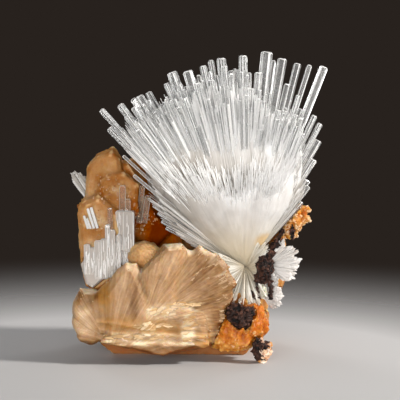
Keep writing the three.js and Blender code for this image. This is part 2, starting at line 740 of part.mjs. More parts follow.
add("basalt_cap_strip", carve(basalt(STRIP_LUMPS), [room]), "#3a211d", 0.8);
add("pale_grains", carve(grainsBody(), [underFanRoom, veinRoom]), "#c9cbb8", 0.4);

// The origin moves to the middle of the underside.
const box = new THREE.Box3().setFromObject(group);
const middle = box.getCenter(new THREE.Vector3());
for (const mesh of group.children) mesh.geometry.translate(-middle.x, -middle.y, -box.min.z);

export default group;
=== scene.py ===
# %% [markdown]
# # Scolecite on stilbite
# The specimen is a fan of clear, white-rooted scolecite needles that grew on a mass of tan
# stilbite blades. Bits of dark, pitted basalt and orange crust show where the crystals let go
# of the rock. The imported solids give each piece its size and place. Here each one gets the
# fine surface that the mineral really has, and the look of the mineral.

# %% The frame
import math

import bmesh
import bpy
import mathutils
import numpy as np
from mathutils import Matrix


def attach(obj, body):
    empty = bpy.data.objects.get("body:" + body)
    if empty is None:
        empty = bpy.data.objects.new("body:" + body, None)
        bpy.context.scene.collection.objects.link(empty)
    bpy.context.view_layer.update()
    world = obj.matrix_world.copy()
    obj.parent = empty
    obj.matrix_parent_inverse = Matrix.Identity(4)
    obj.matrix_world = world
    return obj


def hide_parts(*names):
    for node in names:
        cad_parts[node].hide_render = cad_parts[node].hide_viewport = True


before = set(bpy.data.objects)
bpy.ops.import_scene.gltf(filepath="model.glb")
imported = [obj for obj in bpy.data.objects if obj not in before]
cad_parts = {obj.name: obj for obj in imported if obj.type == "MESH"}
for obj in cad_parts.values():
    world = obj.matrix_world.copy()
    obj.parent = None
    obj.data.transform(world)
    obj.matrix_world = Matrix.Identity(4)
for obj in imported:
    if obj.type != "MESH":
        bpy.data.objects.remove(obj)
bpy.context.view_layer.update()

# %% [markdown]
# ## Units and landmarks
# Crystals are measured in millimetres, so every place and size below is in millimetres, and
# one factor turns them into Blender's metres. Two landmarks steer most of the work: the point
# that the spray grows from, and the point that the front sheaf of stilbite fans out from.

# %% Landmarks
MM = 0.001
APEX = np.array([13.915, -2.285, 25.4])
SPRAY_LEAN = math.radians(-11)
SHEAF_ROOT = np.array([-16.6, -16.0, 12.0])
LOBE_ROOT = np.array([-27.0, -16.0, 0.0])
print("spray grows from", APEX, "and the sheaf from", SHEAF_ROOT)

# %% [markdown]
# ## Small helpers
# Colours are written as sRGB hex values, as a colour picker shows them, and one function turns
# them into the linear values that Blender computes with. Nodes could be drawn by hand in the
# editor, but a written material can be read like a list. So one function adds a node with its
# settings and links. It shares its way to fill inputs with the material's own shader: where a
# node stands for an input, its first output in use is linked.

# %% Colours and nodes
def linear(hex_colour):
    shares = [int(hex_colour[i : i + 2], 16) / 255 for i in (1, 3, 5)]
    return tuple(s / 12.92 if s <= 0.04045 else ((s + 0.055) / 1.055) ** 2.4 for s in shares) + (1.0,)


def plug(tree, node, inputs):
    """Gives each input its value, or a link from a socket or a node."""
    for name, value in inputs.items():
        if isinstance(value, bpy.types.Node):
            value = next(output for output in value.outputs if output.enabled)
        if isinstance(value, bpy.types.NodeSocket):
            tree.links.new(value, node.inputs[name])
        else:
            node.inputs[name].default_value = value


def add_node(tree, kind, inputs=(), stops=(), **settings):
    node = tree.nodes.new("ShaderNode" + kind)
    for name, value in settings.items():
        setattr(node, name, value)
    plug(tree, node, dict(inputs))
    for i, (place, colour) in enumerate(stops):
        elements = node.color_ramp.elements
        element = elements[i] if i < len(elements) else elements.new(place)
        element.position = place
        element.color = linear(colour)
    return node


def new_material(name):
    material = bpy.data.materials.new(name)
    material.use_nodes = True
    tree = material.node_tree
    return material, tree, tree.nodes["Principled BSDF"]


print("middle grey is", [round(c, 3) for c in linear("#808080")])

# %% [markdown]
# A crystal group is thousands of small faces, so meshes are filled from arrays of points and
# faces, which is far quicker than adding one face at a time. Each piece then rides on the
# specimen's one body, gets its material and hides the solids that it replaces.

# %% Meshes
def build_mesh(name, points_mm, face_sets):
    corners = np.concatenate([faces.ravel() for faces in face_sets]).astype(np.int32)
    counts = np.concatenate([np.full(len(faces), faces.shape[1]) for faces in face_sets])
    starts = np.concatenate([[0], np.cumsum(counts)[:-1]]).astype(np.int32)
    mesh = bpy.data.meshes.new(name)
    mesh.vertices.add(len(points_mm))
    mesh.vertices.foreach_set("co", (np.asarray(points_mm) * MM).astype(np.float32).ravel())
    mesh.loops.add(len(corners))
    mesh.loops.foreach_set("vertex_index", corners)
    mesh.polygons.add(len(counts))
    mesh.polygons.foreach_set("loop_start", starts)
    mesh.update(calc_edges=True)
    mesh.validate()
    return mesh


def ring_faces(rings, columns):
    """Faces of a closed surface from rings of points, each above the last."""
    near = np.arange(columns)
    beside = (near + 1) % columns
    last = (rings - 1) * columns
    quads = [
        np.stack([low + near, low + beside, low + columns + beside, low + columns + near], 1)
        for low in range(0, last, columns)
    ]
    return [np.concatenate(quads), near[::-1][None], (last + near)[None]]


def store(mesh, name, values):
    layer = mesh.attributes.new(name, "FLOAT", "POINT")
    layer.data.foreach_set("value", values.astype(np.float32))


def add_piece(name, mesh, material, replaced, is_smooth=False):
    piece = bpy.data.objects.new(name, mesh)
    bpy.context.scene.collection.objects.link(piece)
    mesh.materials.clear()
    mesh.materials.append(material)
    mesh.polygons.foreach_set("use_smooth", np.full(len(mesh.polygons), is_smooth))
    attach(piece, "root")
    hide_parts(*replaced)
    mesh.calc_loop_triangles()
    print(f"{name}: {len(mesh.loop_triangles)} triangles")
    return piece


# %% [markdown]
# Natural surfaces are uneven at several scales at once. Blender's own noise is asked for one
# point at a time, which takes long for a million points. This one adds up sine waves that run
# in random directions, for a whole mesh in one step. It is smooth, and it is the same on every
# run because its random numbers are seeded.

# %% Noise
def noise(points, grain, seed, octaves=3, waves=14):
    """About -1 to 1 at each point; grain is the size of the largest bumps, in the points' unit."""
    random = np.random.default_rng(seed)
    total = np.zeros(len(points))
    strength = 1.0
    weight = 0.0
    for _ in range(octaves):
        ways = random.normal(size=(waves, points.shape[1]))
        ways /= np.linalg.norm(ways, axis=1, keepdims=True)
        ways *= (2 * math.pi / grain) * random.uniform(0.6, 1.4, (waves, 1))
        phases = random.uniform(0, 2 * math.pi, waves)
        total += strength * np.sin(points @ ways.T + phases).sum(1) / math.sqrt(waves / 2)
        weight += strength
        strength *= 0.5
        grain *= 0.5
    return total / (weight * 1.6)


def smooth_step(value, low, high):
    share = np.clip((value - low) / (high - low), 0, 1)
    return share * share * (3 - 2 * share)


sample = noise(np.random.default_rng(1).uniform(0, 9, (500, 3)), 2.0, 3)
print("noise runs from", round(sample.min(), 2), "to", round(sample.max(), 2))

# %% [markdown]
# Many looks change from place to place. They could be painted on the meshes by hand, but a
# written list of places can be measured and moved. A patch is an ellipsoid, given by its
# centre and radii.

# %% Patches
def near_to(points, centre, radii):
    """1 inside an ellipsoid, fading to 0 just outside it."""
    return 1 - smooth_step(np.linalg.norm((points - centre) / radii, axis=1), 0.45, 1.15)


def near_any(points, patches):
    return np.max([near_to(points, centre, radii) for centre, radii in patches], axis=0)


def patch_shift(points, patches):
    """The sum of the shifts of the patches that a point is in."""
    return sum(shift * near_to(points, centre, radii) for centre, radii, shift in patches)


middle_and_rim = np.array([APEX, APEX + [9, 0, 0]])
print("a patch at its middle and rim:", near_to(middle_and_rim, APEX, (9, 9, 9)).round(2))

# %% [markdown]
# ## Camera, floor and light
# The specimen is seen from the front and 8 degrees above, from far off with a long lens, so
# there is almost no perspective. It stands on a pale floor. A lamp at the right throws the
# shadow to the left, a large soft light above and behind makes the clear needles shine against
# the dark, and a weaker soft light fills the front.

# %% Camera
IMAGE_SIDE = 400
FOCAL_PIXELS = 3000
DISTANCE = 900
ELEVATION = math.radians(8)
TARGET = np.array([0.415, 0.715, 45.56])

scene = bpy.context.scene
camera_data = bpy.data.cameras.new("camera")
camera_data.sensor_width = 36
camera_data.lens = camera_data.sensor_width * FOCAL_PIXELS / IMAGE_SIDE
camera_data.clip_end = 20
camera = bpy.data.objects.new("camera", camera_data)
scene.collection.objects.link(camera)
view = np.array([0, math.cos(ELEVATION), -math.sin(ELEVATION)])
camera.location = (TARGET - DISTANCE * view) * MM
camera.rotation_euler = (math.pi / 2 - ELEVATION, 0, 0)
bpy.context.scene.camera = camera
print("camera at", [round(v, 3) for v in camera.location])

# %% [markdown]
# The floor is a disc. It is pale round the specimen and fades into the dark of the room
# further out. Lamps that reach less far could do that too, but they would change the light on
# the crystals. So the disc turns see-through towards its edge instead.

# %% Floor
FLOOR_CENTRE = np.array([-15.0, -30.0, 0.0])
PALE_RADIUS = 88
DARK_RADIUS = 216
FADE_POWER = 2.3
FLOOR_SIDES = 96

floor_finish, tree, shader = new_material("satin_floor")
where = add_node(tree, "TexCoord").outputs["Object"]
reach = add_node(tree, "VectorMath", {0: where, 1: tuple(FLOOR_CENTRE * MM)}, operation="DISTANCE")
radii = {"From Min": PALE_RADIUS * MM, "From Max": DARK_RADIUS * MM, "To Min": 1.0, "To Max": 0.0}
fade = add_node(tree, "MapRange", {"Value": reach, **radii})
alpha = add_node(tree, "Math", {0: fade, 1: FADE_POWER}, operation="POWER")
plug(tree, shader, {
    "Alpha": alpha, "Base Color": linear("#C4C4C5"), "Roughness": 0.5, "Specular IOR Level": 0.05,
})

around = np.linspace(0, 2 * math.pi, FLOOR_SIDES, endpoint=False)
rim = np.stack([np.cos(around), np.sin(around), np.zeros(FLOOR_SIDES)], 1)
floor_mesh = build_mesh("floor", FLOOR_CENTRE + rim * DARK_RADIUS, [np.arange(FLOOR_SIDES)[None]])
floor = bpy.data.objects.new("floor", floor_mesh)
floor_mesh.materials.append(floor_finish)
scene.collection.objects.link(floor)

world = bpy.data.worlds.new("room")
world.use_nodes = True
world.node_tree.nodes["Background"].inputs["Color"].default_value = linear("#28221E")
scene.world = world
print("floor is pale out to", PALE_RADIUS, "mm")

# %% [markdown]
# Each light is a rectangle that looks at the specimen. Its size sets how soft its shadows are.
# The lamp at the right is small. The others are large. Light passes through many crystals one
# behind the other, so it may bend often before it is given up.

# %% Lights
LIGHT_AIM = np.array([0.0, 0.0, 42.0])
CRYSTAL_BOUNCES = 24


def add_light(name, place_mm, size_mm, watts, colour="#FFFFFF"):
    data = bpy.data.lights.new(name, "AREA")
    data.shape = "RECTANGLE"
    data.size, data.size_y = size_mm[0] * MM, size_mm[1] * MM
    data.energy = watts
    data.color = linear(colour)[:3]
    light = bpy.data.objects.new(name, data)
    scene.collection.objects.link(light)
    light.location = np.array(place_mm) * MM
    way = mathutils.Vector((LIGHT_AIM - place_mm).tolist())
    light.rotation_euler = way.to_track_quat("-Z", "Y").to_euler()


add_light("lamp_right", (640, -130, 430), (90, 90), 6.6, "#FFFAF4")
add_light("soft_above", (-20, 120, 560), (420, 300), 0.45)
add_light("soft_front", (-120, -820, 130), (620, 240), 6.6, "#FFFDFA")
add_light("edge_left", (-270, 420, 200), (150, 300), 0.8)
add_light("edge_right", (290, 420, 200), (150, 300), 0.8)

scene.view_settings.view_transform = "Standard"
scene.cycles.max_bounces = CRYSTAL_BOUNCES
scene.cycles.transmission_bounces = CRYSTAL_BOUNCES
scene.cycles.transparent_max_bounces = CRYSTAL_BOUNCES

# %% [markdown]
# ## Finishes of scolecite
# Scolecite is a colourless zeolite with a refractive index of about 1.52. It grew as long
# prisms from hot water in a gas hole of the rock. A single prism is as clear as glass, a thin
# veil of tiny bubbles makes many of them translucent, and where thousands of fibres meet near
# the root, light scatters between them and the mass turns silky white. So there are two kinds
# of finish: crystal by plain transmission, from clear to frosted, and a white fibrous one. The
# prisms that stand in front of the stilbite get a painted warm tint, for the stilbite's light
# that shines through them.

# %% Clear and veiled scolecite
SCOLECITE_IOR = 1.52
FLAW_MM = 1.1
FLAW_ROUGHNESS = 0.12


def crystal(name, body, clearness, roughness):
    material, tree, shader = new_material(name)
    where = add_node(tree, "TexCoord").outputs["Object"]
    flaws = add_node(tree, "TexNoise", {"Vector": where, "Scale": 1 / (FLAW_MM * MM), "Detail": 3.0})
    limits = {"From Min": 0.45, "From Max": 0.75, "To Min": roughness}
    gloss = add_node(tree, "MapRange", {"Value": flaws, **limits, "To Max": roughness + FLAW_ROUGHNESS})
    plug(tree, shader, {
        "Base Color": linear(body),
        "IOR": SCOLECITE_IOR,
        "Transmission Weight": clearness,
        "Roughness": gloss,
    })
    return material


clear_scolecite = crystal("clear_scolecite", "#FDFEFE", clearness=0.85, roughness=0.05)
veiled_scolecite = crystal("veiled_scolecite", "#FDFDFC", clearness=0.34, roughness=0.10)
frosted_scolecite = crystal("frosted_scolecite", "#FFFFFF", clearness=0.25, roughness=0.25)
# Painted warm tint: the stilbite's light that shines through the prisms in front of it.
stilbite_tinted_scolecite = crystal("stilbite_tinted_scolecite", "#FCF5EE", clearness=0.6, roughness=0.07)
tinted_scolecite = crystal("tinted_scolecite", "#F6DEC4", clearness=0.85, roughness=0.05)
worn_and_tinted_scolecite = crystal("worn_and_tinted_scolecite", "#F4E6D8", clearness=0.55, roughness=0.2)
print("clear scolecite:", SCOLECITE_IOR)

# %% [markdown]
# The fibrous finish has one scale from grey shade to pure white. Each point's place on it is
# its tone, which is stored on the mesh: every needle gets one of its own, because neighbours
# never turn the same face to the light. Streaks shift the tone. They use the direction from
# the apex to the point as their coordinate, so they run along the needles wherever they are.

# %% Silky scolecite
SILKY_STOPS = [(0.0, "#8F8880"), (0.35, "#B9B4AE"), (0.65, "#DDDAD7"), (1.0, "#FFFFFF")]
CREAM_STOPS = [(0.0, "#847A68"), (0.35, "#B8AF9E"), (0.65, "#DCD6C8"), (1.0, "#FAF8F2")]
IRON_STAIN = "#E6C48C"
STREAK_MM = 0.5
MIDDLE_MM = 34.0  # from the apex to the middle of the spray, where a streak has that width
HAZE_MM = 5.0
HAZE_SHIFT = 0.3


def silky(name, stops, root, root_mm=24, streak_shift=0.5, relief_share=0.25):
    """A white fibrous finish, which takes the colour root within root_mm of the apex."""
    material, tree, shader = new_material(name)
    where = add_node(tree, "TexCoord").outputs["Object"]
    tone = add_node(tree, "Attribute", attribute_name="tone").outputs["Fac"]
    warm = add_node(tree, "Attribute", attribute_name="warm").outputs["Fac"]
    from_root = add_node(tree, "VectorMath", {0: where, 1: tuple(APEX * MM)}, operation="SUBTRACT")
    way = add_node(tree, "VectorMath", {0: from_root}, operation="NORMALIZE")
    reach = add_node(tree, "VectorMath", {0: from_root}, operation="LENGTH")
    fibrous = {"Vector": way, "Scale": MIDDLE_MM / STREAK_MM / 2, "Detail": 3.0}
    streaks = add_node(tree, "TexNoise", fibrous)
    haze = add_node(tree, "TexNoise", {"Vector": where, "Scale": 1 / (HAZE_MM * MM), "Detail": 4.0})
    level = add_node(tree, "Math", {0: tone, 1: (streak_shift + HAZE_SHIFT) / 2}, operation="SUBTRACT")
    for share, value in ((streak_shift, streaks), (HAZE_SHIFT, haze)):
        level = add_node(tree, "Math", {0: value, 1: share, 2: level}, operation="MULTIPLY_ADD")
    body = add_node(tree, "ValToRGB", {"Fac": level}, stops)
    near_root = add_node(
        tree,
        "MapRange",
        {"Value": reach, "From Min": root_mm * MM, "From Max": 2 * MM},
        interpolation_type="SMOOTHSTEP",
    )
    tint = add_node(tree, "Mix", {0: near_root, 6: body, 7: linear(root)}, data_type="RGBA")
    warmed = add_node(tree, "Mix", {0: warm, 6: tint, 7: linear(IRON_STAIN)}, data_type="RGBA")
    relief = {"Height": streaks, "Strength": relief_share, "Distance": 0.2 * MM}
    plug(tree, shader, {
        "Base Color": warmed,
        "Normal": add_node(tree, "Bump", relief),
        "Roughness": 0.45,
        "Subsurface Weight": 0.35,
        "Subsurface Radius": (1.0, 0.95, 0.88),
        "Subsurface Scale": 1.2 * MM,
    })
    return material


silky_scolecite = silky("silky_scolecite", SILKY_STOPS, "#D3C7AE")
dense_scolecite = silky("dense_scolecite", SILKY_STOPS, "#D3C7AE", streak_shift=0.2, relief_share=0.08)
cream_scolecite = silky("cream_scolecite", CREAM_STOPS, "#C4B69C", root_mm=9)
white_scolecite = silky("white_scolecite", SILKY_STOPS, "#F2EEEA")
print("silky finishes:", silky_scolecite.name, cream_scolecite.name, white_scolecite.name)

# %% [markdown]
# ## The spray's geometry
# A needle is a nearly square prism with its corners ground off by growth and a blunt tip. All
# of them start at the apex, so a needle is fully told by its lean to the right, its lean to
# the back, its length and its width. A particle system could scatter copies of one needle, but
# every needle here has a place, a width and a tip of its own. So the function below makes any
# number of prisms at once. It gives them as a group: their points, their faces and how many
# points one prism has.

# %% Prisms
SQUARE = np.array([[1, 1], [-1, 1], [-1, -1], [1, -1]]) * 0.9
CORNER = 0.8
BEVELLED = np.array([
    (1, CORNER), (CORNER, 1), (-CORNER, 1), (-1, CORNER),
    (-1, -CORNER), (-CORNER, -1), (CORNER, -1), (1, -CORNER),
])


def unit(vectors):
    return vectors / np.linalg.norm(vectors, axis=-1, keepdims=True)


def prisms(feet, tips, widths, rings, section=BEVELLED, flat=1.0, turns=0.0):
    """Prisms from feet to tips. rings are (share of the length, share of the width) pairs."""
    feet, tips = np.atleast_2d(feet).astype(float), np.atleast_2d(tips).astype(float)
    count = len(feet)
    widths, turns, flat = (np.broadcast_to(v, (count,)).astype(float) for v in (widths, turns, flat))
    axis = unit(tips - feet)
    across = unit(np.cross(axis, np.array([0.0, -1.0, 0.001])))
    depth = np.cross(across, axis)
    x_way = across * np.cos(turns)[:, None] + depth * np.sin(turns)[:, None]
    y_way = depth * np.cos(turns)[:, None] - across * np.sin(turns)[:, None]
    points = []
    for share, size in rings:
        middle = feet + (tips - feet) * share
        half = (widths / 2 * size)[:, None]
        for x, y in section:
            points.append(middle + x_way * x * half + y_way * y * half * flat[:, None])
    sides = len(section)
    per = sides * len(rings)
    quads = []
    for a in range(per - sides):
        b = a - a % sides + (a + 1) % sides
        quads.append([a, a + sides, b + sides, b])
    caps = [list(range(sides))], [list(range(per - 1, per - 1 - sides, -1))]
    offset = (np.arange(count) * per)[:, None, None]
    face_sets = [(offset + np.array(f)[None]).reshape(-1, len(f[0])) for f in (quads, *caps)]
    return np.stack(points, 1).reshape(-1, 3), face_sets, per


print("a prism of two rings has", prisms((0, 0, 0), (0, 0, 9), 2.0, [(0, 1), (1, 0.5)])[2], "points")

# %% [markdown]
# A way could be written as three numbers, but two leans are easier to judge: to the right,
# which can be measured from the front, and to the back, which had to be guessed. These
# helpers turn leans into ways and back, and join groups of prisms into one.

# %% Ways and groups
def along(start, lean, back, length):
    """The point at a length from start, on a way that leans right and back by these degrees."""
    lean, back = np.radians(lean), np.radians(back)
    across = np.cos(back) * length
    steps = np.stack(
        [np.sin(lean) * across, np.sin(back) * length + 0 * across, np.cos(lean) * across], -1
    )
    return np.asarray(start) + steps


def way_to(lean, back):
    return along(np.zeros(3), lean, back, 1.0)


def from_apex(ways, distances):
    return APEX + ways * distances[:, None]


def back_lean(ways):
    return np.degrees(np.arcsin(ways[:, 1]))


def right_lean(ways):
    return np.degrees(np.arctan2(ways[:, 0], ways[:, 2]))


def join(groups):
    """Several groups as one, with the same kinds of faces side by side."""
    points, sets, offset = [], {}, 0
    for group_points, face_sets, per in groups:
        points.append(group_points)
        for faces in face_sets:
            sets.setdefault(faces.shape[1], []).append(faces + offset)
        offset += len(group_points)
    return np.concatenate(points), [np.concatenate(s) for s in sets.values()], per


print("the way that leans 30 degrees to the right is", way_to(30.0, 0.0).round(3))

# %% [markdown]
# Each prism gets a tone of its own. The spray is also darker where its long needles leave the
# white root. Its left side, away from the lamp at the right, gets painted shade, and its right
# side is painted lighter. So its needles carry a shift of tone by distance and by lean.

# %% Pieces from prisms
VEIL_DISTANCES = [24, 27, 33, 38, 44]
VEIL_BY_DISTANCE = [-0.06, -0.34, -0.26, 0.05, 0.3]
# Painted shade on the left of the spray and painted light on its right, by lean.
SHADE_LEANS = [-50, -42, -34, -8, 4]
SHADE_BY_LEAN = [-0.4, -0.1, -0.08, 0.08, 0.2]


def add_prisms(name, groups, finish, seed, tones, node="scolecite_spray",
               veil_and_shade=0):
    """One piece from groups of prisms, with a tone of its own for each prism."""
    points, faces, _ = join(groups)
    mesh = build_mesh(name, points, faces)
    random = np.random.default_rng(seed)
    own = [np.repeat(random.uniform(*tones, len(p) // per), per) for p, _, per in groups]
    reach = np.linalg.norm(points - APEX, axis=1)
    by_reach = np.interp(reach, VEIL_DISTANCES, VEIL_BY_DISTANCE)
    # Painted shade on the left side, away from the lamp at the right, and painted light on the right.
    side_shade = np.interp(right_lean(points - APEX), SHADE_LEANS, SHADE_BY_LEAN)
    store(mesh, "tone", np.concatenate(own) + veil_and_shade * (by_reach + side_shade))
    return add_piece(name, mesh, finish, [node])


def frost_edges(piece, rings, finish):
    """Gives the ground corners and the blunt tip of every bevelled prism a second finish."""
    mesh = piece.data
    mesh.materials.append(finish)
    sides = len(BEVELLED)
    pattern = np.zeros(sides * (len(rings) - 1), np.int32)
    pattern[0::2] = 1
    pattern[-sides:] = 1
    count = len(mesh.vertices) // (sides * len(rings))
    index = np.zeros(len(mesh.polygons), np.int32)
    index[: len(pattern) * count] = np.tile(pattern, count)
    mesh.polygons.foreach_set("material_index", index)


CRYSTAL_RINGS = [(0, 0.6), (0.5, 0.95), (0.982, 1.0), (0.993, 0.86), (1.0, 0.5)]
VEILED_RINGS = [(0, 0.6), (0.6, 1.0), (0.985, 1.0), (1.0, 0.55)]
FIBRE_RINGS = [(0, 0.6), (0.7, 1.0), (1.0, 0.45)]
print("a needle has", len(BEVELLED) * len(CRYSTAL_RINGS), "points")

# %% [markdown]
# The spray's outline is a cone that leans left, a little flattened from front to back. Any
# place in it is told by its angle from the cone's axis, its way around the axis and its
# distance from the apex. Needles stay under the reach that their angle allows.

# %% The cone
FRONT_SQUEEZE = 0.4
BACK_SQUEEZE = 0.12
REACH_ANGLES = [0, 32, 35, 38.5, 41.5, 46, 51, 56]
REACHES = [62, 62, 51, 46, 38, 32, 26, 15]
TORN_LEAN = -13.0


def cone_ways(angles, around):
    squeeze = np.where(np.sin(around) < 0, FRONT_SQUEEZE, BACK_SQUEEZE)
    angles = np.radians(angles) * (1 - squeeze * np.sin(around) ** 2)
    axis = np.array([math.sin(SPRAY_LEAN), 0, math.cos(SPRAY_LEAN)])
    side = np.array([math.cos(SPRAY_LEAN), 0, -math.sin(SPRAY_LEAN)])
    back = np.array([0.0, 1.0, 0.0])
    out = np.cos(around)[:, None] * side + np.sin(around)[:, None] * back
    return np.cos(angles)[:, None] * axis + np.sin(angles)[:, None] * out


def even_cone(count, widest, seed):
    """Angles and ways around that fill the cone evenly, with a little disorder."""
    random = np.random.default_rng(seed)
    i = np.arange(count)
    angles = widest * np.sqrt((i + 0.5) * 0.7548776662 % 1)
    around = 2 * math.pi * (i * 0.569840291 % 1)
    angles = np.clip(angles + random.normal(0, 0.7, count), 0, widest)
    return angles, around + random.normal(0, 0.03, count)


def reach_of(angles):
    return np.interp(angles, REACH_ANGLES, REACHES)


print("reach on the axis and at 45 degrees:", reach_of(np.array([0.0, 45.0])))

# %% [markdown]
# The outer needles that the eye picks out one by one keep places of their own, because the
# outline of the spray depends on them. Their leans to the right and their lengths were
# measured from the front. How far they lean to the back was guessed.

# %% Outer needles
# Lean to the right, lean to the back, length and width.
OUTER_NEEDLES = np.array([
    (-66, -8, 16.5, 2), (-61.7, -6, 27, 2.2), (-58.8, -12, 29.8, 2), (-56.4, -8, 31.6, 2),
    (-51.5, -9, 33.5, 2.2), (-48.7, -10, 44.8, 2), (-46.2, -8, 50.8, 2.2),
    (-43.4, -5, 59.2, 2.2), (-41.4, -6, 65, 2), (-37.4, 2, 61.8, 2.4), (-37, -9, 59.5, 1.8),
    (-33.9, 8, 61, 2.2), (-31.2, -2, 61, 2.6), (-29.4, 10, 60.4, 2.2), (-24.9, -8, 57, 2.2),
    (-23.2, 4, 60.2, 1.8), (-20.5, 2, 62.8, 3.2), (-18.4, 12, 57.6, 2), (-16.1, -4, 62.4, 3),
    (-14.1, -10, 59.6, 2.2), (-11.8, 6, 61.9, 2.4), (-9.6, 14, 63.8, 2.2), (-6.6, 0, 63.6, 3.4),
    (-6, -8, 62.6, 2.2), (-4, 10, 59.5, 2.4), (-3, 18, 61.2, 1.8), (-0.7, -2, 64.2, 2.6),
    (1.1, 8, 58.6, 1.8), (3.7, -6, 60, 2.4), (5.7, 3, 65.2, 3.6), (8, 12, 63.2, 2.2),
    (9.8, -3, 64.4, 3), (12.3, -8, 58.2, 2), (14.5, 5, 63.3, 2.4), (16.2, -10, 47.2, 2.6),
    (16.5, -6, 55.2, 1.6), (17.9, 9, 64, 1.8), (21.1, 0, 65, 2.8), (23.8, -5, 51, 1.8),
    (26.5, -8, 47.6, 1.6), (27.5, 4, 48.8, 1.8), (29.6, 0, 44.3, 2.2), (31.5, -4, 39, 2.2),
    (35.9, 6, 32.4, 2), (37.8, 4, 31, 2), (39.4, -2, 26.3, 2),
])
FAR_LEFT = -44
FAR_LEFT_WIDTH, OTHER_WIDTH = 0.5, 0.82
print(len(OUTER_NEEDLES), "outer needles, up to", OUTER_NEEDLES[:, 2].max(), "mm long")

# %% [markdown]
# The others fill the cone between them: long clear ones, then more and more veiled and milky
# ones that end lower down. So the spray turns from clear to white towards its root, as the
# real one does. Places that are drawn by chance alone would clump and leave holes, so most of
# them follow an even spread with a little disorder.

# %% Needles to fill the cone
def free_to_grow(ways):
    """False where the needles are torn off in front, and where the wall of blades is."""
    is_torn = back_lean(ways) < TORN_LEAN
    is_in_wall = (right_lean(ways) < -42) & (back_lean(ways) > -9)
    is_sparse = (right_lean(ways) < -43) & (np.arange(len(ways)) % 5 > 1)
    return ~is_torn & ~is_in_wall & ~is_sparse


def open_side(ways):
    """Shortens the lower needles at the right, where the long ones stand apart from each other."""
    return 1 - 0.14 * smooth_step(right_lean(ways), -2, 12)


def fill_needles(count, widest, shortest, longest, thin, thick, seed):
    """Ways, lengths and widths of needles spread over the whole cone."""
    random = np.random.default_rng(seed)
    angles, around = even_cone(count, widest, seed)
    ways = cone_ways(angles, around)
    lengths = reach_of(angles) * random.uniform(shortest, longest, count) * open_side(ways)
    widths = random.uniform(thin, thick, count)
    kept = free_to_grow(ways)
    return ways[kept], lengths[kept], widths[kept]


def front_needles(count, shortest, longest, thin, thick, seed):
    """The same for the layer nearest the eye, just behind the tear."""
    random = np.random.default_rng(seed)
    lean = random.uniform(-44, 34, count)
    ways = way_to(lean, random.uniform(TORN_LEAN, TORN_LEAN + 6, count))
    reach = reach_of(np.abs(lean - math.degrees(SPRAY_LEAN)))
    lengths = reach * random.uniform(shortest, longest, count) * open_side(ways)
    return ways, lengths, random.uniform(thin, thick, count)


def together(*crowds):
    return tuple(np.concatenate(parts) for parts in zip(*crowds))


def bundle(crowd, start, rings, seed, section=BEVELLED):
    """Needles of a crowd, from start, a share of their length, out to their whole length."""
    ways, lengths, widths = crowd
    random = np.random.default_rng(seed)
    turns = random.uniform(0, math.pi / 2, len(ways))
    flat = random.uniform(0.7, 1.0, len(ways))
    feet, tips = from_apex(ways, lengths * start), from_apex(ways, lengths)
    return prisms(feet, tips, widths, rings, section, flat, turns)


# Each fill has a count, a widest angle, the shortest and longest share of the reach, the
# thinnest and thickest needle in mm, and a seed. A front layer has no angle.
leans, backs, lengths, widths = OUTER_NEEDLES.T
clear_crowd = together(
    (way_to(leans, backs), lengths, widths * np.where(leans < FAR_LEFT, FAR_LEFT_WIDTH, OTHER_WIDTH)),
    fill_needles(250, 40, 0.78, 0.98, 0.7, 1.7, 21),
    front_needles(80, 0.76, 0.95, 0.7, 1.5, 24),
)
veiled_crowd = together(
    fill_needles(1250, 48, 0.66, 0.93, 0.4, 1.0, 22),
    front_needles(420, 0.62, 0.92, 0.35, 0.9, 25),
)
milky_crowd = together(
    fill_needles(5600, 50, 0.56, 0.93, 0.18, 0.5, 23),
    front_needles(3900, 0.54, 0.92, 0.14, 0.36, 26),
)
print("clear, veiled, milky:", len(clear_crowd[0]), len(veiled_crowd[0]), len(milky_crowd[0]))

# %% [markdown]
# The corners of a needle and the edges of its tip are ground rough, and catch the light as
# thin white lines. A bevel modifier would round them, but leave them clear. Here they are
# narrow faces of the same mesh with a frosted finish. The milky needles are too thin for that.

# %% The needles' meshes
for name, crowd, start, rings, finish, bundle_seed, seed in (
    ("clear_needles", clear_crowd, 0.5, CRYSTAL_RINGS, clear_scolecite, 38, 34),
    ("veiled_needles", veiled_crowd, 0.45, VEILED_RINGS, veiled_scolecite, 32, 35),
):
    needles = bundle(crowd, start, rings, bundle_seed)
    frost_edges(add_prisms(name, [needles], finish, seed, (0.3, 0.9), veil_and_shade=1), rings, frosted_scolecite)
needles = bundle(milky_crowd, 0.4, FIBRE_RINGS, 33, SQUARE)
add_prisms("milky_needles", [needles], silky_scolecite, 36, (0.4, 0.85), veil_and_shade=1)

# %% [markdown]
# ## The fibrous heart
# Below the open needles the spray is a compact cone of silky fibres. Its front is broken: the
# fibres were torn off about 30 mm from the apex, in a ragged bright edge. Fibres alone would
# let light through and look hollow, so the cone is one closed, turned surface, whose angle
# from the axis ripples from fibre to fibre. Beyond the tear its front closes in a steep cap.

# %% The tear
TEAR_LEANS = [-50, -36, -28, -21, -15, -10, -1, 6, 16, 24, 34]
TEAR_DISTANCES = [34, 34.5, 32.5, 30.5, 27.5, 25, 26, 28.5, 31, 33, 33]
TORN_SLOPE = 0.22


def tear_distance(ways):
    edge = np.interp(right_lean(ways), TEAR_LEANS, TEAR_DISTANCES)
    return edge + 1.3 * noise(ways * 30, 5.0, 53, octaves=3)


front_ways = way_to(np.array([-40.0, -10, 20]), np.full(3, -20.0))
print("the tear at the left, middle and right, in mm:", tear_distance(front_ways).round(1))

# %% Fibrous heart
HEART_DISTANCES = [0.2, 5, 14, 22, 28, 36, 44, 47, 48]
HEART_ANGLES = [50, 51, 50, 49, 46, 39.5, 32, 20, 0.5]
HEART_COLUMNS = 720
HEART_ROWS = 64

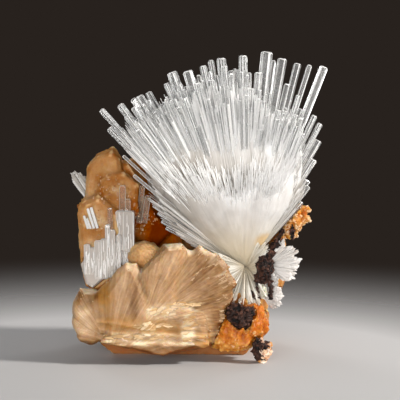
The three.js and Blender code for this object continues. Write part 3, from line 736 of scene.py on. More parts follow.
columns = np.linspace(0, 2 * math.pi, HEART_COLUMNS, endpoint=False)
path = np.linspace(0, len(HEART_ANGLES) - 1, HEART_ROWS)
row_angle = np.interp(path, range(len(HEART_ANGLES)), HEART_ANGLES)
row_distance = np.interp(path, range(len(HEART_ANGLES)), HEART_DISTANCES)
grid_around, grid_angle = (g.ravel() for g in np.meshgrid(columns, row_angle))
grid_distance = np.meshgrid(columns, row_distance)[1].ravel()

ring_place = np.stack([np.cos(grid_around), np.sin(grid_around)], 1) * 30
broad = noise(np.column_stack([ring_place, grid_distance]), 9.0, 51, octaves=2)
fine = noise(np.column_stack([ring_place, grid_distance * 0.12]), 1.3, 52, octaves=3)
toward_front = 0.5 - 0.5 * np.sin(grid_around)
ripple = 0.26 * broad + (0.06 + 0.3 * (1 - toward_front)) * fine
angles = grid_angle + np.degrees(ripple / np.maximum(grid_distance, 6))
ways = cone_ways(angles, grid_around)
is_front = smooth_step(-back_lean(ways), 10.0, 16.0)
tear = tear_distance(ways)
torn = tear + 0.5 * fine + TORN_SLOPE * np.maximum(grid_distance - tear, 0)
distance = grid_distance + (np.minimum(grid_distance, torn) - grid_distance) * is_front
points = from_apex(ways, distance)
mesh = build_mesh("fibrous_heart", points, ring_faces(HEART_ROWS, HEART_COLUMNS))
print("the heart has", len(points), "points and ends", distance.max().round(1), "mm from the apex")

# %% [markdown]
# A painted highlight makes a band along the tear the brightest white, where the torn ends of
# the fibres catch the light. Above it the cap gets painted shade and streaks, most of all left
# of the middle. The left side gets painted shade, away from the lamp at the right, and the
# right side is painted lighter. The back is a little darker too. One spot at the right has a
# warm stain. These tones could come from lamps, but a lamp can't light one band of fibres and
# leave the next one dark.

# %% Tone of the heart
EDGE_HIGHLIGHT = 0.16
EDGE_LEANS, EDGE_HIGHLIGHT_SHARES = [-34, -26, 18, 26], [0.1, 1.0, 1.0, 0.3]
CAP_LEANS, CAP_SHADES = [-40, -30, -12, 0, 30], [0.5, 2.4, 2.2, 0.8, 0.9]
SIDE_LEANS, SIDE_SHADE_SHIFTS = [-60, -46, -34, -20, 0, 22], [-0.5, -0.4, -0.2, 0.0, 0.1, 0.18]
WARM_CENTRE, WARM_RADII = (19.6, -5.0, 34.2), (3.4, 9, 3.0)

lean = right_lean(ways)
# Painted highlight in a band along the tear, and painted shade on the cap above it.
torn_top = smooth_step(grid_distance, tear + 5, tear + 12) * is_front
highlight_and_cap_shade = smooth_step(grid_distance, tear - 6, tear - 1) * (1 - 1.2 * torn_top)
highlight_and_cap_shade *= np.interp(lean, EDGE_LEANS, EDGE_HIGHLIGHT_SHARES)
highlight_and_cap_shade -= torn_top * np.interp(lean, CAP_LEANS, CAP_SHADES)
tone = 0.57 + EDGE_HIGHLIGHT * highlight_and_cap_shade + 0.06 * broad + 0.32 * torn_top * fine
# Painted shade on the left side, away from the lamp at the right, and painted light on the right.
tone += np.interp(lean, SIDE_LEANS, SIDE_SHADE_SHIFTS)
tone += (1 - smooth_step(-back_lean(ways), -4.0, 12.0)) * (0.3 * fine - 0.12)
store(mesh, "tone", tone)
store(mesh, "warm", 0.8 * near_to(points, WARM_CENTRE, WARM_RADII))
add_piece("fibrous_heart", mesh, dense_scolecite, ["scolecite_spray"], True)

# %% [markdown]
# Loose fibres stand out along the tear in slightly different directions, short tufts below it
# and longer ones above it, up to the open needles. On the lower left flank and all round the
# back they are longer still and end in steps, like a broken brush. Relief on the cone couldn't
# show against the dark behind, so they are thin prisms.

# %% Loose fibres
FLANK_LEANS = [-73, -66, -61, -56, -50, -46]
FLANK_REACHES = [10, 16, 24, 29, 34, 40]


def torn_fibres(count, leans, backs, past, sizes, spread, seed):
    """Fibres along the tear. past is how far their tips pass it, from least to most."""
    random = np.random.default_rng(seed)
    ways = way_to(random.uniform(*leans, count), random.uniform(*backs, count))
    lengths = tear_distance(ways) + random.uniform(*past, count)
    loose = unit(ways + random.normal(0, spread, ways.shape))
    size = random.uniform(*sizes, count)
    feet = from_apex(ways, lengths - size)
    widths = random.uniform(0.12, 0.28, count)
    turns = random.uniform(0, 1.5, count)
    return prisms(feet, feet + loose * size[:, None], widths, FIBRE_RINGS, SQUARE, 1.0, turns)


def long_fibres(random, ways, lengths, start, widths):
    widths = random.uniform(*widths, len(ways))
    turns = random.uniform(0, 1.5, len(ways))
    feet, tips = from_apex(ways, lengths * start), from_apex(ways, lengths)
    return prisms(feet, tips, widths, FIBRE_RINGS, SQUARE, 0.7, turns)


def flank_fibres(count, seed):
    random = np.random.default_rng(seed)
    lean = random.uniform(FLANK_LEANS[0], FLANK_LEANS[-1], count)
    ways = way_to(lean, random.uniform(-24, -3, count))
    steps = np.round(random.uniform(0.72, 1.02, count) * 9) / 9
    lengths = np.interp(lean, FLANK_LEANS, FLANK_REACHES) * steps
    return long_fibres(random, ways, lengths, 0.25, (0.3, 0.9))


def back_fibres(count, seed):
    """Fibres of the same bundles, which end at different heights all round the back."""
    random = np.random.default_rng(seed)
    around = random.uniform(-0.12, 1.12, count) * math.pi
    angles = random.uniform(42, 52, count)
    lengths = reach_of(angles) * random.uniform(0.7, 1.02, count)
    return long_fibres(random, cone_ways(angles, around), lengths, 0.4, (0.25, 0.7))


tufts = torn_fibres(
    1400, leans=(-34, 22), backs=(-29, -10), past=(-2.2, 0.8), sizes=(0.8, 2.6), spread=0.16, seed=61
)
add_prisms("tufts", [tufts], dense_scolecite, 63, (0.7, 1.0))
loose = torn_fibres(
    1400, leans=(-42, 24), backs=(-29, -4), past=(0.5, 9.5), sizes=(4, 8), spread=0.03, seed=65
)
add_prisms("loose_fibres", [loose], dense_scolecite, 66, (0.92, 1.0))
flanks = [flank_fibres(420, 62), back_fibres(1300, 68)]
add_prisms("flank_fibres", flanks, silky_scolecite, 64, (0.2, 0.8))

# %% [markdown]
# ## Feathered fans
# Scolecite also grows as small flat fans with a sawn edge: under the spray, and at the right
# as a white cockscomb. A plate with a sawn outline would look cut from paper. So each fan is a
# row of flat fibres that start at one point and spread in one plane, in three layers, and the
# fibres end at their own lengths in a few larger lobes.

# %% Feathers
FEATHER_RINGS = [(0, 0.25), (0.6, 0.8), (0.93, 1.0), (1.0, 0.45)]
LAYER_STEP = 4.5


def feather(start, lean, back, reach, spread, fibres, width, seed, turn=6.0, thick=0.6, lobes=0.1):
    """One flat fan: fibres that lean either side of a middle one, in three layers."""
    random = np.random.default_rng(seed)
    share = np.linspace(-1, 1, fibres)
    groups = []
    for layer in (-1, 0, 1):
        leans = lean + spread * share + random.normal(0, 0.6, fibres)
        backs = back + turn * share + layer * LAYER_STEP + random.normal(0, 1.5, fibres)
        lobe = 1 - lobes * (1 + np.sin(share * 9 + seed + layer)) - 0.08 * share**2
        lengths = reach * lobe * random.uniform(0.86, 1.0, fibres)
        feet, tips = (along(start, leans, backs, lengths * part) for part in (0.06, 1))
        widths = width * random.uniform(0.7, 1.3, fibres)
        turns = random.uniform(-0.6, 0.6, fibres)
        groups.append(prisms(feet, tips, widths, FEATHER_RINGS, SQUARE, thick, turns))
    return join(groups)


def fan_row(start, rows, spread, fibres, width, seed, *shape):
    return [feather(start, *row, spread, fibres, width, seed + i, *shape) for i, row in enumerate(rows)]


print("a fan of 20 fibres has", len(feather(APEX, 0, 0, 14, 9, 20, 0.5, 1)[0]), "points")

# %% [markdown]
# Under the spray the fans hang in a half ring below its root, and short ones fill the gap
# between the spray and the vein. They are cream, probably from iron at their roots.

# %% Fans under the spray
# Lean, lean to the back and length of each fan under the spray.
UNDER_FANS = [
    (-70, -38, 14.5), (-82, -42, 14.0), (-94, -44, 13.6), (-108, -42, 13.2), (-122, -38, 13.0),
    (-138, -34, 13.6), (-153, -28, 14.2), (-168, -26, 14.4), (178, -20, 14.2), (164, -14, 13.6),
    (150, -10, 12.0),
]
# The same for the short ones that fill the gap between the spray and the vein.
BESIDE_FANS = [
    (36, -12, 11.5), (44, -10, 9.5), (54, -10, 7.5), (66, -8, 6.2), (80, -8, 5.4), (96, -8, 5.4),
    (112, -6, 6.4), (130, -8, 8.4),
]
under = fan_row(APEX + [0, -2, 1], UNDER_FANS, 9, 20, 0.5, 70)
under += fan_row(APEX + [0, -1, -0.5], BESIDE_FANS, 12, 14, 0.55, 170)
add_prisms("under_fan", under, cream_scolecite, 77, (0.35, 0.95))

# %% [markdown]
# The cockscomb at the right edge is three groups of thicker, more twisted fans, one above the
# other. One large fan would end in a smooth arc, and the real comb is lobed.

# %% Cockscomb
COMB_FANS = [
    (36, 2, 10.2), (52, -12, 11.4), (66, 10, 11.4), (80, -6, 11.6), (94, 6, 10.6), (108, -10, 10.2),
    (122, 2, 9.2), (62, 24, 10.4), (92, 26, 10.2),
]
MIDDLE_COMB_FANS = [(64, 0, 6.4), (88, -8, 6.0), (112, 4, 5.8), (136, -6, 6.0), (160, 0, 6.0)]
LOW_COMB_FANS = [
    (40, 4, 6.4), (66, -12, 6.6), (90, 8, 6.6), (112, -10, 6.4), (134, 0, 5.6), (80, 24, 6.4),
]
COMB_SHAPE = (14, 0.9, 0.2)
combs = []
for start, fans, spread, fibres, seed in (
    ((20.015, -1.285, 26.0), COMB_FANS, 9, 14, 90),
    ((18.6, -1.6, 22.4), MIDDLE_COMB_FANS, 14, 12, 120),
    ((19.415, -2.885, 17.0), LOW_COMB_FANS, 14, 12, 110),
):
    combs += fan_row(start, fans, spread, fibres, 0.7, seed, *COMB_SHAPE)
add_prisms(
    "right_comb", combs, white_scolecite, 78, (0.15, 0.75), "scolecite_right_fans"
)

# %% [markdown]
# At the left edge a few white blades stand side by side. They didn't grow from one point, so
# they are no fan: each is a broad prism with a few thin ones in and round it.

# %% Blades at the left edge
# Side step, length and lean to the back of each blade at the left edge. They are parallel.
SIDE_START = np.array([-32.0, -0.3, 46.4])
SIDE_BLADES = np.array([(-1.5, 7.6, 3), (-0.8, 9.4, -3), (0.0, 8.9, 2), (0.7, 8.2, -2), (1.4, 6.6, 3)])
SIDE_LEAN = -33.0
FINE_PER_BLADE = 7
steps, lengths, backs = SIDE_BLADES.T
side_feet = SIDE_START + np.outer(steps, [0.84, 0, 0.54])
side_tips = along(side_feet, np.full(len(steps), SIDE_LEAN), backs, lengths)
side_group = prisms(side_feet, side_tips, 1.15, FEATHER_RINGS, SQUARE, flat=1.3, turns=0.4)
fine_feet, fine_tips = (
    np.repeat(ends, FINE_PER_BLADE, 0)
    + np.random.default_rng(seed).normal(0, 0.35, (FINE_PER_BLADE * len(steps), 3))
    for ends, seed in ((side_feet, 131), (side_tips, 132))
)
fine_group = prisms(fine_feet, fine_tips, 0.4, FEATHER_RINGS, SQUARE, flat=0.8, turns=0.2)
add_prisms(
    "side_fan", [side_group, fine_group], white_scolecite, 79, (0.2, 0.7),
    "scolecite_side_blades",
)

# %% [markdown]
# ## Fine copies of the solids
# The stilbite, the crusts and the basalt keep the shape of their solids. Subdividing them
# would keep their long thin triangles, so each is copied and rebuilt as an even mesh of small
# cells. Then its points are moved by noise and by the mineral's own pattern.

# %% Fine copy
def read_points(mesh):
    points = np.zeros(len(mesh.vertices) * 3, np.float32)
    mesh.vertices.foreach_get("co", points)
    normals = np.zeros(len(mesh.vertices) * 3, np.float32)
    mesh.vertex_normals.foreach_get("vector", normals)
    return points.reshape(-1, 3).astype(float) / MM, normals.reshape(-1, 3).astype(float)


def write_points(mesh, points):
    mesh.vertices.foreach_set("co", (points * MM).astype(np.float32).ravel())
    mesh.update()


def fine_copy(node, cell_mm, soften):
    """A mesh of even cells in a node's shape, softened in a few steps, with points and normals."""
    work = bmesh.new()
    work.from_mesh(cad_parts[node].data)
    bmesh.ops.remove_doubles(work, verts=work.verts, dist=1e-6)
    coarse = bpy.data.meshes.new(node + "_coarse")
    work.to_mesh(coarse)
    work.free()
    carrier = bpy.data.objects.new(node + "_carrier", coarse)
    scene.collection.objects.link(carrier)
    remesh = carrier.modifiers.new("cells", "REMESH")
    remesh.mode = "VOXEL"
    remesh.voxel_size = cell_mm * MM
    carrier.modifiers.new("soften", "SMOOTH").iterations = soften
    graph = bpy.context.evaluated_depsgraph_get()
    mesh = bpy.data.meshes.new_from_object(carrier.evaluated_get(graph))
    mesh.name = node + "_fine"
    bpy.data.objects.remove(carrier)
    return mesh, *read_points(mesh)


def move_points(mesh, points, normals, distances):
    """Moves points along their normals, keeps them above the floor, and returns them."""
    points = points + normals * distances[:, None]
    points[:, 2] = np.maximum(points[:, 2], 0)
    write_points(mesh, points)
    return points


print("solids that can be copied:", len(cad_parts))

# %% [markdown]
# These helpers read a fine mesh: how far a point stands out from its neighbours, where a face
# cuts across the stacked sheets, and how near a point is to the middle of a grain. Modifiers
# could find some of it, but the finish needs the same numbers as the relief.

# %% Rims, sheets and grains
def neighbour_mean(mesh, values, steps):
    edges = np.zeros(len(mesh.edges) * 2, np.int32)
    mesh.edges.foreach_get("vertices", edges)
    edges = edges.reshape(-1, 2)
    count = np.bincount(edges.ravel(), minlength=len(values))
    values = np.array(values, float)
    for _ in range(steps):
        total = np.bincount(edges[:, 0], values[edges[:, 1]], len(values))
        total += np.bincount(edges[:, 1], values[edges[:, 0]], len(values))
        values = 0.5 * values + 0.5 * total / np.maximum(count, 1)
    return values


def blurred(mesh, points, steps):
    return np.stack([neighbour_mean(mesh, points[:, i], steps) for i in range(3)], 1)


def thin_rims(mesh, points, normals, share):
    """1 on the sharpest edges in front, a given share of the points there, and 0 elsewhere.

    Thin rims of stilbite let more light through and look paler. Only those that face up and
    to the right count, where the lamps light them, so the pale is also a painted highlight.
    """
    height = ((points - blurred(mesh, points, 6)) * normals).sum(1)
    out = np.clip(neighbour_mean(mesh, height, 1), -1, 1)
    facing_light = smooth_step(normals[:, 2] + 0.6 * normals[:, 0], -0.1, 0.15)
    in_front = (normals[:, 1] < -0.2) & (facing_light > 0.5)
    low, high = np.quantile(out[in_front], [1 - share, 1 - share / 4])
    return smooth_step(out, low, high) * facing_light


def calm_faces(mesh, points, steps, share):
    """Rounds off the creases of large faces, by the share that is given for each point."""
    points = points + (blurred(mesh, points, steps) - points) * np.clip(share, 0, 1)[:, None]
    write_points(mesh, points)
    return read_points(mesh)


def side_sheets(points, normals, seed):
    """Edges of the stacked sheets, seen where a surface cuts across the stack."""
    sheets = noise(np.column_stack([points[:, 1], points[:, 0] * 0.06, points[:, 2] * 0.06]), 1.6, seed)
    return sheets * (1 - smooth_step(np.abs(normals[:, 1]), 0.35, 0.75))


def cells(points, grain):
    """Rounded grains side by side: 1 at the middle of a grain, 0 in the gaps between them."""
    rows = (points / grain).tolist()
    nearest = np.array([mathutils.noise.voronoi(row)[0][:2] for row in rows])
    return np.clip(nearest[:, 1] - nearest[:, 0], 0, 1)


print("grains at two points:", cells(np.array([[0.0, 0, 0], [1, 2, 3]]), 1.3).round(2))

# %% [markdown]
# ## Finish of stilbite
# Stilbite is a pearly zeolite, coloured tan to orange by iron. It grew as stacks of thin
# blades, so light enters it, scatters and comes out warmer, and a shaded hollow glows a deep
# orange. The finish has one scale of colour from deep to pale. A pattern in space alone
# couldn't follow the blades, so where a point lies on the scale is worked out on the mesh. It
# is shifted by clouds, by sugar-fine grain and by streaks that run out from the root of each
# fan of blades. Rims are mixed towards a pale colour. Thin rims let more light through, and
# the pale rims are those that face the lamps, so this is also a painted highlight. Small
# crystals don't glow, because light leaves them before it turns warm.

# %% Stilbite finish
STILBITE_IOR = 1.50
CLOUD_SHIFT = 0.34
GRAIN_SHIFT = 0.16
LOOKS = ("shade", "rim", "stain", "fan_angle", "fan_reach", "streaky")


def stilbite(name, stops, rim, stain, glow, gloss=0.5, cloud_mm=4.0, grain_mm=0.6, shine=0.2,
             relief_mm=0.12):
    material, tree, shader = new_material(name)
    where = add_node(tree, "TexCoord").outputs["Object"]
    read = {key: add_node(tree, "Attribute", attribute_name=key).outputs["Fac"] for key in LOOKS}
    clouds = add_node(tree, "TexNoise", {"Vector": where, "Scale": 1 / (cloud_mm * MM), "Detail": 5.0})
    grain = add_node(tree, "TexNoise", {"Vector": where, "Scale": 1 / (grain_mm * MM), "Detail": 3.0})
    fan_place = add_node(tree, "CombineXYZ", {"X": read["fan_angle"], "Y": read["fan_reach"]})
    fibrous = {"Vector": fan_place, "Scale": 0.6, "Detail": 5.0, "Roughness": 0.7}
    streaks = add_node(tree, "TexNoise", fibrous)
    streak_shift = add_node(tree, "Math", {0: streaks, 1: 0.5}, operation="SUBTRACT")
    level = read["shade"]
    for share, value in ((read["streaky"], streak_shift), (CLOUD_SHIFT, clouds), (GRAIN_SHIFT, grain)):
        level = add_node(tree, "Math", {0: value, 1: share, 2: level}, operation="MULTIPLY_ADD")
    colour = add_node(tree, "ValToRGB", {"Fac": level}, stops)
    stained = add_node(tree, "Mix", {0: read["stain"], 6: colour, 7: linear(stain)}, data_type="RGBA")
    tinted = add_node(tree, "Mix", {0: read["rim"], 6: stained, 7: linear(rim)}, data_type="RGBA")
    height = add_node(tree, "Math", {0: streaks, 1: read["streaky"], 2: grain}, operation="MULTIPLY_ADD")
    relief = {"Height": height, "Strength": 0.3, "Distance": relief_mm * MM}
    plug(tree, shader, {
        "Base Color": tinted,
        "Normal": add_node(tree, "Bump", relief),
        "Roughness": gloss,
        "IOR": STILBITE_IOR,
        "Specular IOR Level": shine,
        "Subsurface Weight": glow,
        "Subsurface Radius": (1.0, 0.5, 0.2),
        "Subsurface Scale": 3.4 * MM,
    })
    return material


def store_look(mesh, shade, rim=0.0, fan_angle=0.0, fan_reach=0.0, streaky=0.0, stain=0.0):
    """Stores what the stilbite finish reads. Shade is the wanted place on the colour scale."""
    shade = shade - (CLOUD_SHIFT + GRAIN_SHIFT) / 2
    for key, values in zip(LOOKS, (shade, rim, stain, fan_angle, fan_reach, streaky)):
        store(mesh, key, np.broadcast_to(np.asarray(values, float), (len(mesh.vertices),)))


def fan_angle(points, root):
    """The angle of each point in the fan of laths that grew from a root, seen from the front."""
    return np.degrees(np.arctan2(points[:, 0] - root[0], points[:, 2] - root[2]))


def add_bits(name, group, finish, node, shades, stains=None):
    """A piece of small crystals. Each has a shade, and may have a stain, of its own."""
    points, faces, per = group
    mesh = build_mesh(name, points, faces)
    stains = np.zeros(len(shades)) if stains is None else stains
    store_look(mesh, np.repeat(shades, per), stain=np.repeat(stains, per))
    add_piece(name, mesh, finish, [node])


print("the finish reads", LOOKS)

# %% [markdown]
# Each form of the mineral has its own run of colours. The wall is the deepest tan, the sheaf
# is paler and pearly, its chips are nearly white, the ball is browner and the crusts are
# orange. The two colours after the run are those of pale rims, partly a painted highlight,
# and of stains.

# %% Colours of stilbite
WALL_STOPS = [
    (0.0, "#702800"), (0.2, "#964800"), (0.42, "#9E6228"), (0.68, "#B68858"), (1.0, "#DFC09A"),
]
SHEAF_STOPS = [
    (0.0, "#6A3C14"), (0.25, "#906A42"), (0.5, "#AE8A64"), (0.75, "#CAA884"), (1.0, "#F0DCBC"),
]
CHIP_STOPS = [(0.0, "#B98F5E"), (0.5, "#D9B98C"), (1.0, "#F3E4CC")]
BALL_STOPS = [(0.0, "#7A4010"), (0.5, "#AE7A44"), (1.0, "#E0BC8C")]
CRUST_STOPS = [
    (0.0, "#742C04"), (0.3, "#A04C0C"), (0.55, "#BF701F"), (0.8, "#D89A50"), (1.0, "#EECB98"),
]
GRAIN_STOPS = [(0.0, "#A04C0C"), (0.5, "#CC8434"), (1.0, "#F0D0A0")]
wall_stilbite = stilbite(
    "tan_stilbite", WALL_STOPS, "#E3BC8C", "#B4947C", glow=0.75, shine=0.0, relief_mm=0.4
)
small_stilbite = stilbite("small_stilbite", WALL_STOPS, "#E3BC8C", "#F0E0CC", glow=0.0, shine=0.3)
sheaf_stilbite = stilbite("pearly_stilbite", SHEAF_STOPS, "#FBEBCF", "#BC8434", glow=0.8)
lath_stilbite = stilbite("lath_stilbite", SHEAF_STOPS, "#FBEBCF", "#BC8434", glow=0.0)
chip_stilbite = stilbite("chipped_stilbite", CHIP_STOPS, "#F4E2C2", "#C08A3C", glow=0.0, gloss=0.35)
ball_stilbite = stilbite("ribbed_stilbite", BALL_STOPS, "#E2C294", "#C08A3C", glow=0.6)
orange_stilbite = stilbite(
    "orange_stilbite", CRUST_STOPS, "#E8B878", "#F4EBDD", glow=0.7, gloss=0.4, cloud_mm=2.6,
    grain_mm=0.35,
)
grain_stilbite = stilbite("orange_grains", GRAIN_STOPS, "#E8B878", "#F4EBDD", glow=0.0)
print("stilbite finishes:", wall_stilbite.name, sheaf_stilbite.name, orange_stilbite.name)

# %% [markdown]
# ## The wall of blades
# Its blades are smooth and waxy, with low waves from uneven growth. The hollow between wall,
# ball and spray gets painted shade, the deepest colour, because light reaches it only through
# the crystal, and a painted glow at one spot in it. The bottom, under the sheaf, gets painted
# shade too. All this and the wall's own paler and darker plates are a short list of soft
# patches, each with a place, a size and a shift.

# %% Wall
# Centre and radii of a patch in mm, and how far it moves the colour towards pale. The first two
# and the fourth are painted shade in the hollow, the third is a painted glow in it, and the one
# near the floor is painted shade under the sheaf.
WALL_COLOUR_AND_SHADE_PATCHES = [
    ((-12, -4, 43), (9, 16, 14), -0.40), ((-8, -4, 35), (10, 14, 6), -0.30),
    ((-16, -2, 37), (3, 8, 4), 0.20), ((-17, -4, 37), (5, 12, 6), -0.10),
    ((-26, -4, 47), (4, 12, 7), 0.04), ((-29, -6, 57), (6, 14, 4), 0.16),
    ((-33, -6, 50), (3.5, 14, 5), 0.20), ((-31, -8, 43), (4.5, 10, 4.5), 0.20),
    ((-34, -8, 33), (4, 12, 9), 0.10), ((-19, -6, 36), (2, 8, 2), 0.2),
    ((-6, -8, 4), (34, 20, 6), -0.22), ((-27.5, -10, 21), (7, 10, 5), -0.12),
    ((-29, -9, 36), (6, 12, 8), 0.14), ((-22, -6, 49), (5, 12, 4), 0.18),
    ((-29, -9, 40), (5, 12, 2.2), 0.16),
]
# Where small crystals sit on the blades in a sugary layer.
DRUSE_PATCHES = [
    ((-27, -7, 50), (6, 9, 5)), ((-30, -8, 40), (6, 8, 4)), ((-21, -5, 44), (4, 9, 7)),
    ((-17, -3, 40), (5, 8, 5)),
]
HOLLOW_CENTRE, HOLLOW_RADII = (-11.0, -2, 41), (10, 18, 14)
# Fan angles are taken from the front, so the depth of this point has no effect.
WALL_ROOT = np.array([-28.0, 0, 8.0])

mesh, points, normals = fine_copy("stilbite_wall", cell_mm=0.46, soften=2)
hollow = near_to(points, HOLLOW_CENTRE, HOLLOW_RADII)
# Pale rims: the thinnest edges, partly a painted highlight where they face the lamps; none in the
# hollow.
rim = thin_rims(mesh, points, normals, 0.12) * (1 - hollow)
sheets = side_sheets(points, normals, 74)
behind = smooth_step(normals[:, 1] + 0.03 * points[:, 1], -0.1, 0.4)
stacks = cells(points * [1, 1, 0.35], 3.4)
druse = near_any(points, DRUSE_PATCHES)
sugar = cells(points, 1.7)
moved = 0.25 * noise(points, 8.0, 71, octaves=1) + 0.12 * noise(points, 1.8, 72, octaves=2)
moved += 0.75 * druse * (sugar - 0.3) + 0.22 * sheets + 1.1 * behind * (stacks - 0.3)
points = move_points(mesh, points, normals, moved)
shade = 0.51 + 0.24 * druse * (sugar - 0.35) + 0.10 * noise(points, 5.0, 73)
# The patches add painted shade in the hollow and under the sheaf, and a painted glow in the hollow.
shade += 0.12 * sheets + behind * (0.3 * (stacks - 0.35) + 0.08) + patch_shift(points, WALL_COLOUR_AND_SHADE_PATCHES)
bottom = 1 - smooth_step(points[:, 2], 6, 13)
angle = fan_angle(points, WALL_ROOT)
# Towards the bottom a pinkish grey is mixed in.
store_look(mesh, shade, 0.7 * rim, angle, points[:, 2] * 0.06, 0.14, 0.2 * bottom)
add_piece("stilbite_blades", mesh, wall_stilbite, ["stilbite_wall"], True)

# %% [markdown]
# At the back and sides, where the mass had room, small blades stand out of it. They are flat,
# point up and outwards, and end in a blunt roof. In front a few tiny ones stand in the sugary
# places, and some of those are paler: partly bleached, partly a painted glint where they
# sparkle. All of them are prisms with their feet on points of the wall's mesh, picked by a
# chance that says where blades grow.

# %% Small blades
BLADE_RINGS = [(0, 0.8), (0.55, 1.0), (0.85, 0.9), (1.0, 0.35)]
BACK_BLADES = 520
FRONT_BLADES = 220


def pick(random, chance, count):
    """Numbers of count different points, each as likely as its chance."""
    chance = chance + 1e-9
    return random.choice(len(chance), count, p=chance / chance.sum(), replace=False)


def scatter_blades(points, normals, chance, count, short, long, seed):
    random = np.random.default_rng(seed)
    chosen = pick(random, chance, count)
    lengths = random.uniform(short, long, count)[:, None]
    ways = unit(normals[chosen] * 0.55 + [0, 0, 0.8] + random.normal(0, 0.22, (count, 3)))
    feet, tips = points[chosen] - ways * lengths * 0.64, points[chosen] + ways * lengths * 0.36
    widths = lengths[:, 0] * random.uniform(0.3, 0.5, count)
    turns = np.arctan2(normals[chosen, 0], -normals[chosen, 1]) + random.normal(0, 0.3, count)
    return prisms(feet, tips, widths, BLADE_RINGS, BEVELLED, random.uniform(0.25, 0.5, count), turns)


room = behind * smooth_step(points[:, 2], 4, 12) * smooth_step(normals[:, 2], -0.3, 0.2)
room *= smooth_step(normals[:, 1], 0.3, 0.6) * (1 - smooth_step(points[:, 2], 48, 54))
in_front = druse * smooth_step(-normals[:, 1], 0.3, 0.7)
blades = join([
    scatter_blades(points, normals, room, BACK_BLADES, short=2.0, long=5.5, seed=75),
    scatter_blades(points, normals, in_front, FRONT_BLADES, short=0.5, long=1.5, seed=77),
])
random = np.random.default_rng(76)
# The front blades' whitening is partly bleaching and partly a painted glint.
bleached = np.concatenate([np.zeros(BACK_BLADES), random.uniform(0, 0.7, FRONT_BLADES) ** 2])
shades = [random.uniform(0.3, 0.62, BACK_BLADES), random.uniform(0.35, 0.75, FRONT_BLADES)]
shades = np.concatenate(shades)
add_bits("small_blades", blades, small_stilbite, "stilbite_wall", shades, bleached)

# %% [markdown]
# ## The front sheaf
# Its blades fan out from one point at the lower left, and each is a stack of laths, so fine
# ridges and streaks run from that point to the rim. They could be bump alone, but they show
# at the rim, so they are moved into the mesh. The lobes at the left are fans with roots of
# their own, past a groove. The broken base is paler and layered, with a honey-yellow stain.

# %% Places on the sheaf
# Centre and radii of a patch in mm, and how far it moves the colour towards pale. Most are the
# blades' own paler and darker parts. The one at the bottom is painted shade, and the bright one
# on the base, at (-3, -24, 11), is a painted glow where light passes through.
SHEAF_COLOUR_AND_SHADE_PATCHES = [
    ((5, -18, 25), (10, 12, 12), -0.20), ((0, -18, 15), (7, 10, 3.5), -0.06),
    ((-33, -18, 20), (5, 12, 4), -0.26), ((-27.5, -16, 21.5), (3.5, 12, 5), -0.26),
    ((-34, -20, 12), (5, 10, 5), 0.24), ((-14, -22, 7.5), (17, 10, 3.2), 0.24),
    ((-3, -24, 11), (2.6, 8, 6), 0.42), ((-11, -22, 15.5), (7, 8, 3), 0.28),
    ((-21, -22, 11.5), (5, 8, 3), 0.06), ((-22, -22, 27), (2.4, 12, 5), 0.12),
    ((-8, -20, 30), (4, 12, 5), 0.10), ((-12, -24, 1), (34, 14, 5), -0.50),
    ((8, -18, 13), (5, 10, 5), -0.34), ((-19, -20, 19), (1.6, 12, 8), -0.20),
    ((-34, -20, 16), (3, 10, 3), 0.12), ((-17, -22, 30), (3, 12, 3), 0.10),
]
HONEY_PATCHES = [
    ((-22, -22, 12), (9, 8, 3.4)), ((-12, -22, 11), (9, 8, 2.6)), ((-27, -18, 19), (4, 9, 5)),
    ((-28, -14, 22), (5, 12, 4)), ((2, -24, 7), (4, 8, 3)),
]
LOBE_SIDE_ROOT = np.array([-26.0, 0, 6.0])
FAN_CENTRE, FAN_RADII = (5.0, -18, 22), (16, 14, 17)
HIGHLIGHT_WAY = np.array([0.2, -0.25, 0.95])
print(len(SHEAF_COLOUR_AND_SHADE_PATCHES), "patches of shade and", len(HONEY_PATCHES), "of honey")

# %% [markdown]
# A point's fan decides the angle that its ridges follow: the blade's, the groove's or a side
# lobe's. The creases of the large faces are rounded off first, but not the rims. Faces that
# turn up get a painted pale highlight, and faces that point down get painted shade.

# %% Sheaf
mesh, points, normals = fine_copy("stilbite_sheaf", cell_mm=0.28, soften=8)
edge = thin_rims(mesh, points, normals, 0.2)
points, normals = calm_faces(mesh, points, 30, 1 - neighbour_mean(mesh, np.minimum(edge * 3, 1), 4))
# Painted highlight: faces that turn up towards the lamps are mixed with the pale rim colour.
rim = smooth_step(normals @ HIGHLIGHT_WAY, 0.6, 1.0) * smooth_step(points[:, 2], 14, 18)
rim = rim * (0.5 + 0.3 * noise(points, 3.0, 89))
sheets = side_sheets(points, normals, 88)
# Painted shade on faces that point down.
shaded_underside = smooth_step(-normals[:, 2], 0.35, 0.8)
groove_x = -16.6 - (points[:, 2] - 26) * 0.31
blade_share = smooth_step(points[:, 0] - groove_x, -0.3, 0.3)
lobe_share = 1 - smooth_step(points[:, 0] + (points[:, 2] - 12) * 0.35, -30.5, -29.5)
angle = np.where(blade_share > 0.5, fan_angle(points, SHEAF_ROOT), fan_angle(points, LOBE_ROOT) + 60)
angle = np.where(lobe_share > 0.5, fan_angle(points, LOBE_SIDE_ROOT) + 130, angle)
reach = np.linalg.norm(points - SHEAF_ROOT, axis=1)
ridge_place = np.column_stack([angle, reach * 0.5])
is_fan = near_to(points, FAN_CENTRE, FAN_RADII) * blade_share
is_base = (1 - smooth_step(points[:, 2] + 0.12 * points[:, 0], 8.5, 11.5)) * (1 - lobe_share)
laths = noise(ridge_place, 9.0, 81, octaves=3)
fine_laths = noise(ridge_place, 2.4, 84, octaves=2)
rough = noise(points * [0.45, 1, 1.5], 2.6, 82, octaves=3)
ledges = np.sin(points[:, 2] * 2.3 + 0.5 * rough + 0.08 * points[:, 0])
moved = 0.12 * laths * (1 - is_base) + 0.08 * (0.3 + is_fan) * fine_laths
moved += is_base * (0.24 * rough + 0.2 * ledges) + 0.2 * sheets
